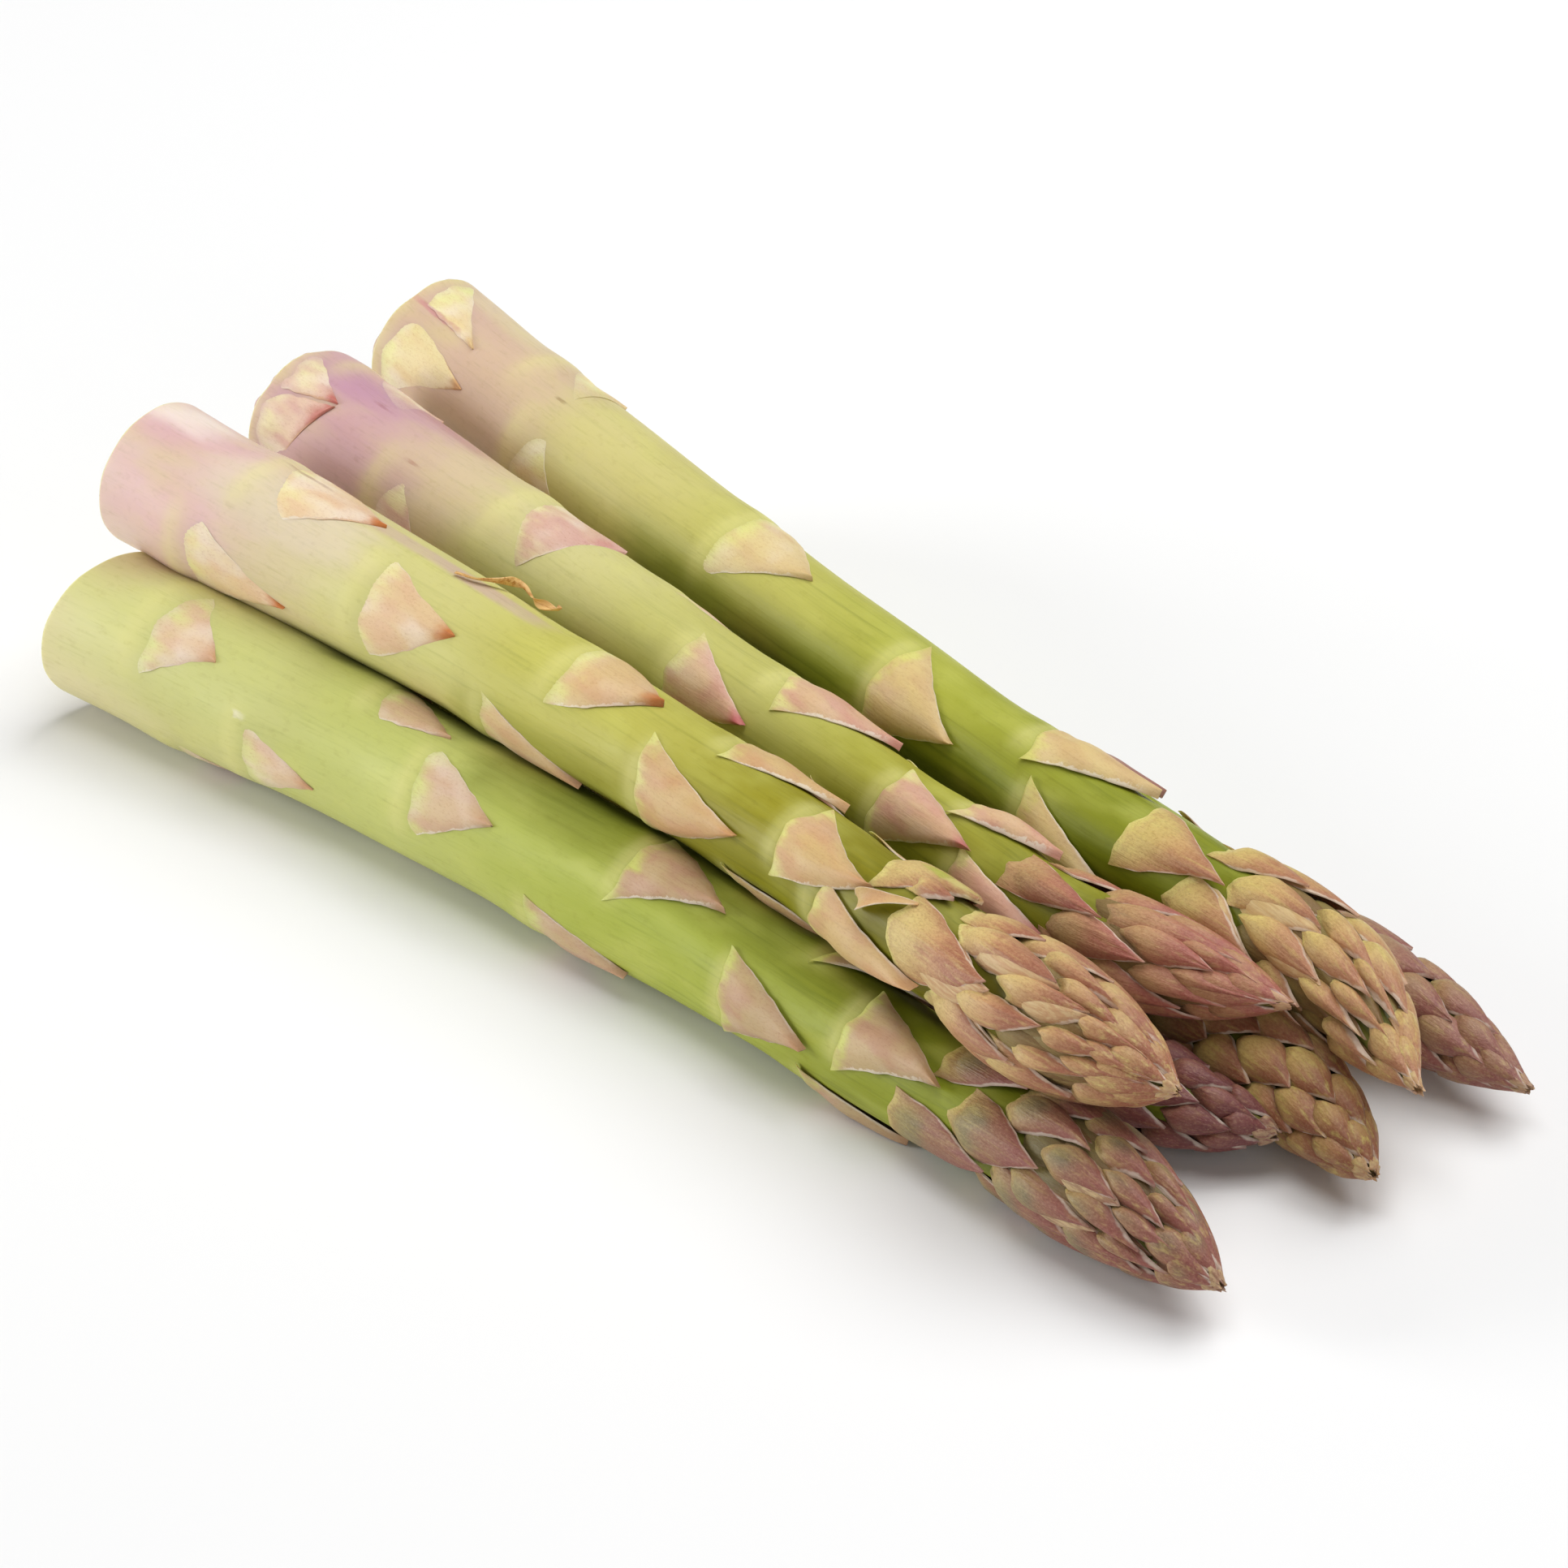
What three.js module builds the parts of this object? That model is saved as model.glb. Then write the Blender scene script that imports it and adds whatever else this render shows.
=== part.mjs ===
// A bundle of seven asparagus spears lying on a table: four side by side, three in the grooves above.
// Units are millimetres. +X runs from the cut ends to the tips, +Y across the bundle, +Z up.
import * as THREE from "three";

// Stems
const STEM_SIDES = 20;
const STEM_RINGS = 12;
const CUT_EDGE_ROUND = 0.5;

// Tips: the tight cone of overlapping scales that ends each spear
const TIP_SIDES = 20;
const TIP_RINGS = 13;
const TIP_SHOULDER = 0.36;
const TIP_TAPER_POWER = 2.1;
const TIP_FULLNESS = 0.85;
const TIP_END_RADIUS = 0.7;
const TIP_SCALE_RELIEF = 0.35;
const TIP_SCALE_ROWS = 5;
const TIP_SCALE_COLUMNS = 5;

// Scale leaves: thin triangular leaves that lie against the stem
const TOUCH_GAP = 0.3;
const LEAF_THICKNESS = 0.5;
const LEAF_HALF_ARC = 44;
const LEAF_APEX_LIFT = 0.5;
const LEAF_COLUMNS = 6;
const LEAF_ROWS = 4;
const LEAF_APEX_WIDTH = 0.1;

const UP = new THREE.Vector3(0, 0, 1);

// Each spear has a spine of [x, y, z] points from its cut end to its tip, a girth of
// [distance from the cut, radius] pairs, the distance where the tip begins and its widest radius.
// Each leaf is [distance from the cut, clock angle, length] and, where a neighbour leaves it less room,
// half the arc that it covers. The clock reads 0 degrees on top and 90 degrees on the -Y side.
// Leaves climb the stem in a spiral.
const spears = [
  {
    name: "a",
    spine: [
      [-84.1, -33.3, 10],
      [-39.5, -28.3, 9.1],
      [7.2, -25.4, 8.4],
      [46.9, -25.2, 7.3],
      [75.3, -26.2, 7.6],
      [97.2, -27.8, 5.8],
    ],
    girth: [[0, 9.2], [45, 8.3], [92, 7.7], [114, 6.9], [138, 6.2]],
    tipStart: 140,
    tipRadius: 6.8,
    cutLean: [-2, 115],
    leaves: [[11, 38, 11], [27, 100, 13], [42, 8, 13, 26], [55, 60, 13], [74, 130, 16], [88, 22, 14], [106, 83, 15], [124, 38, 14]],
    stemColour: 0xb5c172,
    leafColour: 0xb59a7d,
    tipColour: 0x8a7a5c,
  },
  {
    name: "b",
    spine: [
      [-90.2, -22.6, 24.6],
      [-37.1, -19.3, 22.8],
      [10.8, -19, 21.4],
      [52.5, -21.7, 21.1],
      [64.1, -22.5, 21.1],
      [83.3, -21.5, 20.6],
    ],
    girth: [[0, 8.9], [53, 7.5], [101, 6.1], [125, 5.5], [140, 5.7]],
    tipStart: 141,
    tipRadius: 7.0,
    cutLean: [0, 0],
    leaves: [[14, 90, 16, 40], [20, -8, 14], [42, 62, 14], [63, 112, 15, 26], [71, 6, 14], [90, 78, 17], [98, -38, 15], [114, 24, 15], [121, 106, 17]],
    stemColour: 0xb9bd78,
    leafColour: 0xc69f80,
    tipColour: 0xa98262,
  },
  {
    name: "c",
    spine: [
      [-92.8, 2.1, 22.6],
      [-38.8, 0, 20.6],
      [-1.8, -1.3, 19.1],
      [38.7, -2.2, 17.1],
      [55, -1.4, 16.8],
      [74.4, 3.4, 17.1],
    ],
    girth: [[0, 8.4], [54, 7.0], [91, 5.7], [115, 4.9], [131, 4.7]],
    tipStart: 132,
    tipRadius: 5.7,
    cutLean: [0, 0],
    leaves: [[1, 66, 10], [1, -22, 10], [15, -48, 10], [24, 92, 11], [45, 5, 12], [76, 52, 14], [91, -40, 13], [111, 42, 15]],
    stemColour: 0xb7b274,
    leafColour: 0xb98d80,
    tipColour: 0x8b5f52,
  },
  {
    name: "d",
    spine: [
      [-96.3, 24.3, 22.6],
      [-51.1, 18.9, 21.1],
      [0.1, 14.9, 19.1],
      [36, 12.6, 17.6],
      [69.5, 12.1, 16.6],
      [93, 4.7, 14.6],
    ],
    girth: [[0, 8.7], [20, 8.1], [45, 7.7], [72, 6.8], [97, 6.4], [133, 5.9]],
    tipStart: 146,
    tipRadius: 6.6,
    cutLean: [0, 0],
    leaves: [[1, 64, 15], [1, -28, 13], [33, 95, 8, 34], [65, 20, 13], [97, 45, 15], [121, -12, 16], [125, 85, 14]],
    stemColour: 0xa9b460,
    leafColour: 0xcdb183,
    tipColour: 0xa68a58,
  },
  {
    name: "e",
    spine: [
      [-70.8, -11.7, 9],
      [-15.8, -9.7, 8],
      [31.2, -8.5, 7.1],
      [56.2, -7.7, 6.6],
      [68.2, -7.3, 6.6],
      [79.2, -2.5, 5.4],
    ],
    girth: [[0, 8.2], [55, 7.2], [102, 6.0], [120, 5.3]],
    tipStart: 110,
    tipRadius: 5.7,
    cutLean: [0, 0],
    leaves: [[16, 85, 14], [40, -90, 14], [66, 85, 14], [90, -80, 14]],
    stemColour: 0x8f9a4c,
    leafColour: 0x7c5a58,
    tipColour: 0x5c4048,
  },
  {
    name: "f",
    spine: [
      [-76.8, 11.9, 8.8],
      [-15.8, 8.5, 8],
      [31.2, 6.1, 7.1],
      [56.2, 5.5, 6.7],
      [74.2, 4.1, 6.7],
      [91.7, -0.3, 5.4],
    ],
    girth: [[0, 7.9], [61, 7.1], [108, 6.2], [128, 5.6]],
    tipStart: 126,
    tipRadius: 5.9,
    cutLean: [0, 0],
    leaves: [[16, -105, 14], [40, 85, 14], [66, -105, 14], [92, 80, 14]],
    stemColour: 0x8f9a4c,
    leafColour: 0x8a6f55,
    tipColour: 0x75603f,
  },
  {
    name: "g",
    spine: [
      [-82.8, 34.5, 8.8],
      [-22.8, 27.5, 7.8],
      [31.2, 24.9, 6.9],
      [56.2, 25.2, 6.5],
      [73.2, 25, 6.3],
      [90.4, 24.3, 5.4],
    ],
    girth: [[0, 8.0], [60, 7.0], [114, 6.1], [132, 5.4]],
    tipStart: 128,
    tipRadius: 5.6,
    cutLean: [0, 0],
    leaves: [[18, -70, 14], [34, 50, 13], [54, -60, 14], [76, -110, 14], [96, -40, 14], [112, -100, 13]],
    stemColour: 0x99a556,
    leafColour: 0x94705f,
    tipColour: 0x80604f,
  },
];

function spineOf(spear) {
  const points = spear.spine.map((p) => new THREE.Vector3(...p));
  const curve = new THREE.CatmullRomCurve3(points, false, "catmullrom", 0.5);
  curve.arcLengthDivisions = 400;
  return curve;
}

// The point at a distance along the spine, a clock angle and a radius
function pointAt(curve, distance, clock, radius) {
  const along = THREE.MathUtils.clamp(distance / curve.getLength(), 0, 1);
  const centre = curve.getPointAt(along);
  const tangent = curve.getTangentAt(along);
  const top = UP.clone().addScaledVector(tangent, -tangent.z).normalize();
  const far = new THREE.Vector3().crossVectors(top, tangent);
  return centre.addScaledVector(top, radius * Math.cos(clock)).addScaledVector(far, -radius * Math.sin(clock));
}

function stemRadius(spear, distance) {
  const girth = spear.girth;
  let i = 1;
  while (i < girth.length - 1 && distance > girth[i][0]) i += 1;
  const [from, fromRadius] = girth[i - 1];
  const [to, toRadius] = girth[i];
  const part = THREE.MathUtils.clamp((distance - from) / (to - from), 0, 1);
  return THREE.MathUtils.lerp(fromRadius, toRadius, part);
}

// A closed skin over rings of equal size, fanned shut at both ends around their own middles
function skinOfRings(rings) {
  const positions = rings.flat();
  const indices = [];
  const sides = rings[0].length;
  for (let r = 0; r < rings.length - 1; r += 1) {
    for (let k = 0; k < sides; k += 1) {
      const a = r * sides + k;
      const b = r * sides + ((k + 1) % sides);
      indices.push(a, a + sides, b, b, a + sides, b + sides);
    }
  }
  const lastRing = (rings.length - 1) * sides;
  for (const [first, start, flip] of [[0, 0, false], [rings.length - 1, lastRing, true]]) {
    const middle = rings[first].reduce((sum, p) => sum.add(p), new THREE.Vector3()).divideScalar(sides);
    const hub = positions.push(middle) - 1;
    for (let k = 0; k < sides; k += 1) {
      const a = start + k;
      const b = start + ((k + 1) % sides);
      indices.push(...(flip ? [hub, b, a] : [hub, a, b]));
    }
  }
  return closedGeometry(positions, indices);
}

function closedGeometry(points, indices) {
  const geometry = new THREE.BufferGeometry();
  geometry.setAttribute("position", new THREE.Float32BufferAttribute(points.flatMap((p) => p.toArray()), 3));
  geometry.setIndex(indices);
  geometry.computeVertexNormals();
  return geometry;
}

function ring(curve, distance, sides, radiusAt, shiftAt) {
  const points = [];
  for (let k = 0; k < sides; k += 1) {
    const clock = (-2 * Math.PI * k) / sides;
    const point = pointAt(curve, distance, clock, radiusAt(clock));
    point.x += shiftAt(clock);
    points.push(point);
  }
  return points;
}

function stemGeometry(spear) {
  const curve = spineOf(spear);
  const [lean, leanClock] = spear.cutLean;
  const end = spear.tipStart - TOUCH_GAP / 2;
  const distances = [0, CUT_EDGE_ROUND];
  for (let r = 1; r <= STEM_RINGS; r += 1) distances.push((end * r) / STEM_RINGS);
  const rings = distances.map((distance, r) => {
    const inset = r === 0 ? CUT_EDGE_ROUND : 0;
    const fade = Math.max(0, 1 - distance / 12);
    const shift = (clock) => lean * fade * (1 + Math.cos(clock - THREE.MathUtils.degToRad(leanClock)));
    return ring(curve, distance, STEM_SIDES, () => stemRadius(spear, distance) - inset, shift);
  });
  return skinOfRings(rings);
}

// Radius of the tip at a part of its length, 0 at its base and 1 at its point
function tipProfile(spear, part) {
  const base = stemRadius(spear, spear.tipStart);
  if (part < TIP_SHOULDER) {
    return THREE.MathUtils.lerp(base, spear.tipRadius, Math.sin((part / TIP_SHOULDER) * (Math.PI / 2)));
  }
  const fall = (part - TIP_SHOULDER) / (1 - TIP_SHOULDER);
  const narrowing = (1 - fall ** TIP_TAPER_POWER) ** TIP_FULLNESS;
  return TIP_END_RADIUS + (spear.tipRadius - TIP_END_RADIUS) * narrowing;
}

function tipGeometry(spear) {
  const curve = spineOf(spear);
  const start = spear.tipStart + TOUCH_GAP / 2;
  const length = curve.getLength() - start;
  const rings = [];
  for (let r = 0; r <= TIP_RINGS; r += 1) {
    const part = r / TIP_RINGS;
    const radiusAt = (clock) => {
      const wave = Math.cos(TIP_SCALE_COLUMNS * clock + 2 * Math.PI * TIP_SCALE_ROWS * part);
      return tipProfile(spear, part) - TIP_SCALE_RELIEF * (0.5 - 0.5 * wave) * (1 - part);
    };
    rings.push(ring(curve, start + part * length, TIP_SIDES, radiusAt, () => 0));
  }
  return skinOfRings(rings);
}

// A leaf is a curved plate: broad and wrapped round the stem at its base, narrow at its apex
function leafGeometry(spear, [distance, clockDegrees, length, reach = LEAF_HALF_ARC]) {
  const curve = spineOf(spear);
  const clock = THREE.MathUtils.degToRad(clockDegrees);
  const baseHalfArc = THREE.MathUtils.degToRad(reach);
  const rings = [];
  for (let r = 0; r <= LEAF_ROWS; r += 1) {
    const part = r / LEAF_ROWS;
    const halfArc = baseHalfArc * Math.max(LEAF_APEX_WIDTH, (1 - part) ** 0.85);
    const at = distance + part * length;
    const inner = stemRadius(spear, at) + TOUCH_GAP + LEAF_APEX_LIFT * part ** 2;
    const thickness = LEAF_THICKNESS * (1 - 0.4 * part);
    const face = [];
    const back = [];
    for (let c = 0; c <= LEAF_COLUMNS; c += 1) {
      const turn = clock + halfArc * ((2 * c) / LEAF_COLUMNS - 1);
      face.push(pointAt(curve, at, turn, inner + thickness));
      back.unshift(pointAt(curve, at, turn, inner));
    }
    rings.push([...back, ...face].reverse());
  }
  return plateOfRings(rings);
}

// A closed skin over flat rings whose two halves face each other, so both ends are strips
function plateOfRings(rings) {
  const positions = rings.flat();
  const indices = [];
  const sides = rings[0].length;
  for (let r = 0; r < rings.length - 1; r += 1) {
    for (let k = 0; k < sides; k += 1) {
      const a = r * sides + k;
      const b = r * sides + ((k + 1) % sides);
      indices.push(a, a + sides, b, b, a + sides, b + sides);
    }
  }
  const lastRing = (rings.length - 1) * sides;
  for (let k = 0; k < sides / 2 - 1; k += 1) {
    const opposite = sides - 1 - k;
    indices.push(k, k + 1, opposite, k + 1, opposite - 1, opposite);
    const [a, b, c, d] = [k, k + 1, opposite, opposite - 1].map((i) => i + lastRing);
    indices.push(a, c, b, b, c, d);
  }
  return closedGeometry(positions, indices);
}

function namedMesh(name, geometry, colour, roughness) {
  const material = new THREE.MeshStandardMaterial({ color: colour, roughness, metalness: 0 });
  const mesh = new THREE.Mesh(geometry, material);
  mesh.name = name;
  return mesh;
}

const bundle = new THREE.Group();
for (const spear of spears) {
  bundle.add(namedMesh(`spear_${spear.name}_stem`, stemGeometry(spear), spear.stemColour, 0.45));
  bundle.add(namedMesh(`spear_${spear.name}_tip`, tipGeometry(spear), spear.tipColour, 0.6));
  spear.leaves.forEach((leaf, i) => {
    bundle.add(namedMesh(`spear_${spear.name}_leaf_${i + 1}`, leafGeometry(spear, leaf), spear.leafColour, 0.6));
  });
}

// The origin is the middle of the bundle's footprint, on the surface it lies on
const reach = new THREE.Box3().setFromObject(bundle);
const middle = reach.getCenter(new THREE.Vector3());
bundle.position.set(-middle.x, -middle.y, -reach.min.z);

export default bundle;
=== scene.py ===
"""Seven asparagus spears lying in two layers. Lengths are in millimetres until a mesh is made."""
import math

import bpy
import numpy as np
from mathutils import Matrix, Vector


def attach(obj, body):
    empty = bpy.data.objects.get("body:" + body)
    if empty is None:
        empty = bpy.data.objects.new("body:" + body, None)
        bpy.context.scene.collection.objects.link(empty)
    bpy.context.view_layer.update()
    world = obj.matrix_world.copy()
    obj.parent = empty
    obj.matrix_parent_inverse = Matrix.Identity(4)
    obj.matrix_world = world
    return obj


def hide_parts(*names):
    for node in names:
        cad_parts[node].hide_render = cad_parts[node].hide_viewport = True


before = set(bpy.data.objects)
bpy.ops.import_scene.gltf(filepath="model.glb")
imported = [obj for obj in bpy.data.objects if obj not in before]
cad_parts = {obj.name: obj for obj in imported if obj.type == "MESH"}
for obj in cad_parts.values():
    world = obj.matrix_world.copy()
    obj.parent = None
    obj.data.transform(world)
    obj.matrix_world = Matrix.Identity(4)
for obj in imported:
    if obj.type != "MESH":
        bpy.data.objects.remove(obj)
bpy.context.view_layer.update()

MM = 0.001
GOLDEN = 137.5  # degrees from one scale of a spiral to the next
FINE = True  # a draft has coarser meshes

# Camera: where it looks, how far off it stands, and how many pixels a millimetre takes there
LOOK_AT = (1.2, -4.7, 15.6)
CAMERA_AZIMUTH = 49.0
CAMERA_ELEVATION = 30.0
CAMERA_DISTANCE = 1000.0
PIXELS_PER_MM = 11.0
IMAGE_SIDE = 1932
SENSOR_WIDTH = 36.0


# ---- the spears
# Distances run along a spear from its cut end. The clock reads 0 on top and 90 on the -Y side.
#  spine: points of its middle line. girth: (distance, radius) of the stem. turn: which way its spiral winds
#  tip_start, tip_radius, fullness, plump: where the tip begins, how wide it gets, how fast it narrows
#   (below 1 is slower) and how much its scales swell
#  leaves: (CAD node or None, distance of the base, (how much further on the upper corner is, clock),
#   (the same for the lower corner), (distance of the point, clock), (bow of each side), dryness)
#   where a bow above 0 bulges out and one below 0 curves in
#  scales: the same on the tip, without a node and a dryness
#  spiral: (start, clock, number, length, half width) of the scales that fill the rest of the tip
#  fringed: which listed scales show a papery margin. raised: how much further out some of them stand
#  ribbons: ([(distance, clock, lift, half width, roll)], dryness, the length its colours are laid out for)
#  cut_lean: (how far the cut end leans, towards which clock)
#  swelling: (distance, clock, how far it reaches along, half its arc, height)


def plain(distance, clock, length=14.0, half=44.0, corner=1, bows=(0, 0), dryness=0.3, shift=0, node=None):
    """An even-sided leaf or scale, such as fills the sides that the photo does not show."""
    corners = (corner, clock - half), (corner, clock + half)
    return (node, distance, *corners, (distance + length, clock + shift), bows, dryness)


SPEARS = {}
SPEARS["a"] = dict(
    spine=[(-84.1, -33.3, 10.0), (-39.5, -28.3, 9.1), (7.2, -25.4, 8.4), (46.9, -25.2, 7.3),
           (75.3, -26.2, 7.6), (97.2, -27.8, 5.8)],
    girth=[(0, 9.2), (45, 8.3), (92, 7.7), (114, 6.9), (138, 6.2)],
    tip_start=140, tip_radius=6.8, seed=11, turn=-1, cut_lean=(-2.0, 115),
    swelling=(22, -24, 17, 32, 0.6),
    leaves=[
        (1, 10.0, (2.3, -18), (0.4, 80), (21.8, 40), (0.1, -0.2), 0.5),
        (2, 27.3, (0, 60), (1, 138), (40.2, 101), (-0.1, 0.1), 0.6),
        (3, 42.3, (0.3, -34), (0.4, 21), (55.3, 5), (0.1, 0.7), 0.4),
        (4, 54.5, (0, 18), (0.6, 100), (68.2, 54), (0.25, 0), 0.3),
        (5, 74.5, (0.8, 96), (0.5, 168), (90.5, 125), (0, 0), 0.3),
        (6, 87.5, (0.8, -17), (0.2, 60), (102.3, 20), (0.3, -0.3), 0.3),
        (7, 106.6, (-0.2, 45), (0.7, 120), (121, 84), (0.35, 0), 0.6),
        (8, 124.8, (1.2, 3), (0.9, 84), (140.8, 48), (0.35, -0.3), 0.3),
        plain(1, -60, 11), plain(14.5, 160, 9), plain(20, -112), plain(48, -160), plain(65, -78),
        plain(97, -130),
        (None, 115.3, (0, -75), (0.8, 10), (129, -38), (0, -0.4), 0.2),
        plain(119, 158), plain(128.5, -95)],
    scales=[
        (132.5, (3, 74), (0, 158), (150.5, 96), (-0.3, 0.1)),
        (137.6, (0.4, -34), (1.3, 37), (150.3, 6), (0, -0.2)),
        (142.2, (2.8, 31), (2.7, 98), (158.5, 62), (-0.1, 0.2)),
        (148.5, (2.4, -2), (2.8, 47), (162.3, 21), (0.7, -0.6)),
        (149.6, (1.2, 83), (1.5, 140), (164, 112), (0, 0.2)),
        (152.6, (2.4, 70), (2.9, 115), (167, 84), (-0.4, 0.3)),
        (154, (1, -62), (4, 1), (165.3, -26), (0, 0)),
        (156, (3.2, 25), (3.3, 64), (168.4, 43), (0.8, 0.2)),
        (159.8, (1.8, -20), (3.2, 21), (170, 0), (1.2, -0.3)),
        (161.5, (3.5, 50), (3, 82), (173.3, 80), (0.3, 0)),
        (161.2, (2.6, 88), (1, 128), (172, 103), (0, 0.2)),
        (163.8, (2.2, 11), (3, 43), (174.4, 31), (1.0, -0.2)),
        (164.4, (1.5, -52), (2, -14), (175.6, -24), (0, 0.6)),
        (167.3, (1.8, 37), (3.2, 70), (178.4, 46), (0.5, 0.3)),
        (166.8, (1.5, 79), (2.5, 108), (176.8, 97), (0.3, 0.4)),
        (168.8, (1.5, -9), (2.5, 20), (178.6, 0), (0.6, 0.2))],
    spiral=(141, -60, 34, 15.5, 4.0), fullness=0.95, plump=1.05, fringed=(5, 7))
SPEARS["b"] = dict(
    spine=[(-90.2, -22.6, 24.6), (-37.1, -19.3, 22.8), (10.8, -19.0, 21.4), (52.5, -21.7, 21.1),
           (64.1, -22.5, 21.1), (83.3, -21.5, 20.6)],
    girth=[(0, 8.9), (53, 7.5), (101, 6.1), (125, 5.5), (140, 5.7)],
    tip_start=141, tip_radius=7.0, seed=22, turn=-1,
    ribbons=[
        ([(50.5, -6, 0.35, 0.2, 0), (53, -12, 0.5, 0.35, 20), (54.9, -24, 0.9, 0.5, 50),
          (55.4, -37, 1.3, 0.55, 90), (56.2, -44, 1.5, 0.35, 130), (57.8, -42, 1.1, 0.25, 170),
          (59.4, -38, 0.8, 0.35, 230), (60.7, -38, 0.9, 0.6, 280), (62.0, -40, 1.1, 0.5, 330),
          (62.6, -42, 1.5, 0.3, 400), (61.9, -44, 1.7, 0.15, 460)], 2.0, 1.6),
        ([(127.9, 55, 0.4, 0.8, -20), (128.7, 52, 1.4, 1.25, -5), (130.5, 45, 1.6, 1.15, 15),
          (132.4, 36, 1.1, 0.8, 25), (134.4, 26, 0.6, 0.35, 10), (135.2, 22, 0.4, 0.15, 0)], 0.1, 40.0)],
    leaves=[
        (1, 12.8, (1.2, 58), (-1, 142), (31.2, 102), (-0.2, 0.3), 1.0),
        (2, 19.4, (-1, -75), (3.9, 46), (37.6, -14), (0, 0.1), 1.0),
        (3, 41.4, (0.2, 9), (1.9, 107), (57.6, 47), (0, 0.5), 1.0),
        (4, 63.6, (0.4, 79), (0, 165), (79.5, 130), (0.1, 0), 0.3),
        (5, 72.2, (0, -60), (1.8, 54), (86.3, -7), (0.3, 0.8), 1.0),
        (6, 90, (-0.3, 30), (1, 135), (107.6, 68), (-0.35, 0.2), 0.5),
        (7, 96.4, (-1, -90), (1.8, 4), (113.6, -44), (0, 0.1), 0.2),
        (8, 112.8, (1.9, -19), (1.5, 79), (129, 35), (-0.8, 0.7), 0.2),
        (9, 120, (3.2, 58), (0, 155), (140.2, 98), (-0.5, 0.2), 0.3),
        plain(31, -160), plain(55, -110), plain(80, -128), plain(104.8, 160, 14, 42), plain(118, -98)],
    scales=[
        (124.7, (0.4, -88), (3.8, 34), (140.0, -24), (0.9, -1.5)),
        (131.2, (0.3, -44), (0.6, -10), (139.2, -24), (0.6, 0.6)),
        (132.2, (2.6, 12), (3.9, 92), (151.2, 48), (-0.6, 0.9)),
        (130.8, (0.2, -18), (1.4, 10), (138.2, -2), (0.7, 0.4)),
        (139, (1.5, -58), (2, 1), (151, -22), (0, 0.4)),
        (139.5, (4, 83), (0, 155), (156, 103), (-0.3, 0.2)),
        (140.4, (3.5, -6), (3.2, 32), (157.8, 16), (1.2, 0.3)),
        (145.4, (5, 58), (4, 90), (159.3, 57), (-0.3, 0.6)),
        (150.6, (3.4, 22), (3.4, 53), (162.9, 21.5), (0.1, 0.5)),
        (151, (1.5, -32), (3, -2), (164.5, -5), (0.4, 0.2)),
        (155, (2.6, 82), (2.5, 106), (165.7, 88), (0.2, 0.5)),
        (156, (2, -5), (2.3, 20), (167.7, 14), (0.8, 0.2)),
        (157.6, (2.6, 51), (2.8, 75), (167.5, 51), (0.2, 0.6)),
        (160.8, (2.5, 18), (2.5, 45), (170.3, 20), (0.4, 0.5)),
        (161, (2.5, 70), (3, 95), (171.2, 73), (0, 0.5)),
        (162.8, (2, 41), (3, 69), (171.8, 55), (0.3, 0.3)),
        (161, (1.5, -30), (2, -2), (170.5, -12), (0.4, 0.4))],
    spiral=(140, -75, 32, 15.5, 4.0), fullness=0.95, plump=1.05, fringed=(2, 5, 6, 8),
    raised={0: 0.7, 1: 0.75, 3: 0.7})
SPEARS["c"] = dict(
    spine=[(-92.8, 2.1, 22.6), (-38.8, 0.0, 20.6), (-1.8, -1.3, 19.1), (38.7, -2.2, 17.1),
           (55.0, -1.4, 16.8), (74.4, 3.4, 17.1)],
    girth=[(0, 8.4), (54, 7.0), (91, 5.7), (115, 4.9), (131, 4.7)],
    tip_start=132, tip_radius=5.7, seed=33, turn=1,
    leaves=[
        (1, 0.1, (0, 47), (2, 105), (10.5, 28), (0, 1.0), 0.8),
        (2, 0.1, (0, -7), (0, 42), (10.4, 24), (0.1, 0.1), 0.9),
        (3, 5, (3, -100), (11, 5), (18, -52), (0, -0.6), 0.3),
        (4, 22.4, (3.8, 30), (1, 150), (31.5, 98), (0.2, 0.2), 0.2),
        (5, 41.2, (0, -95), (6.3, 61), (55.5, -40), (0, 0.5), 0.4),
        (6, 75.8, (0.4, 5), (0, 96), (89.6, 63), (0, 0.6), 0.9),
        (7, 88, (0, -90), (3.8, 28), (106, -38), (0, 0), 0.4),
        (8, 110.8, (1.5, -4), (0.5, 104), (126.2, 40), (0.2, -0.2), 0.8),
        plain(8, 175), plain(34, -133), plain(55, 142, 13, 40), plain(65, -80), plain(84, -165),
        plain(101, 112, 13, 38), plain(106, -113),
        (None, 120.2, (1, -75), (0.3, 9), (134, -30), (0, 0), 0.2),
        (None, 124.4, (1.1, 45), (0, 125), (139.3, 83), (0.1, 0), 0.5)],
    scales=[
        (130.4, (1.6, -13), (0.9, 55), (146.2, 33), (-0.1, -0.3)),
        (139.1, (2, 32), (1, 84), (152.8, 60), (0.6, 0.3)),
        (144.2, (3, -18), (2.5, 30), (162, 0), (0.6, 0.3)),
        (144.6, (2, 72), (2, 128), (157, 112), (0, 0.2)),
        (147.6, (2.8, 8), (4, 56), (160, 41), (0.8, 0.4)),
        (150, (3, 57), (1.5, 96), (162, 100), (0.2, 0.4)),
        (153.8, (2, -7), (4, 32), (164.5, 24), (0.4, 0.4)),
        (154.2, (3.2, 44), (3.4, 82), (165.5, 72), (0.4, 0.4))],
    spiral=(131, -70, 30, 15.5, 3.9), fullness=1.0, plump=0.85)
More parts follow.
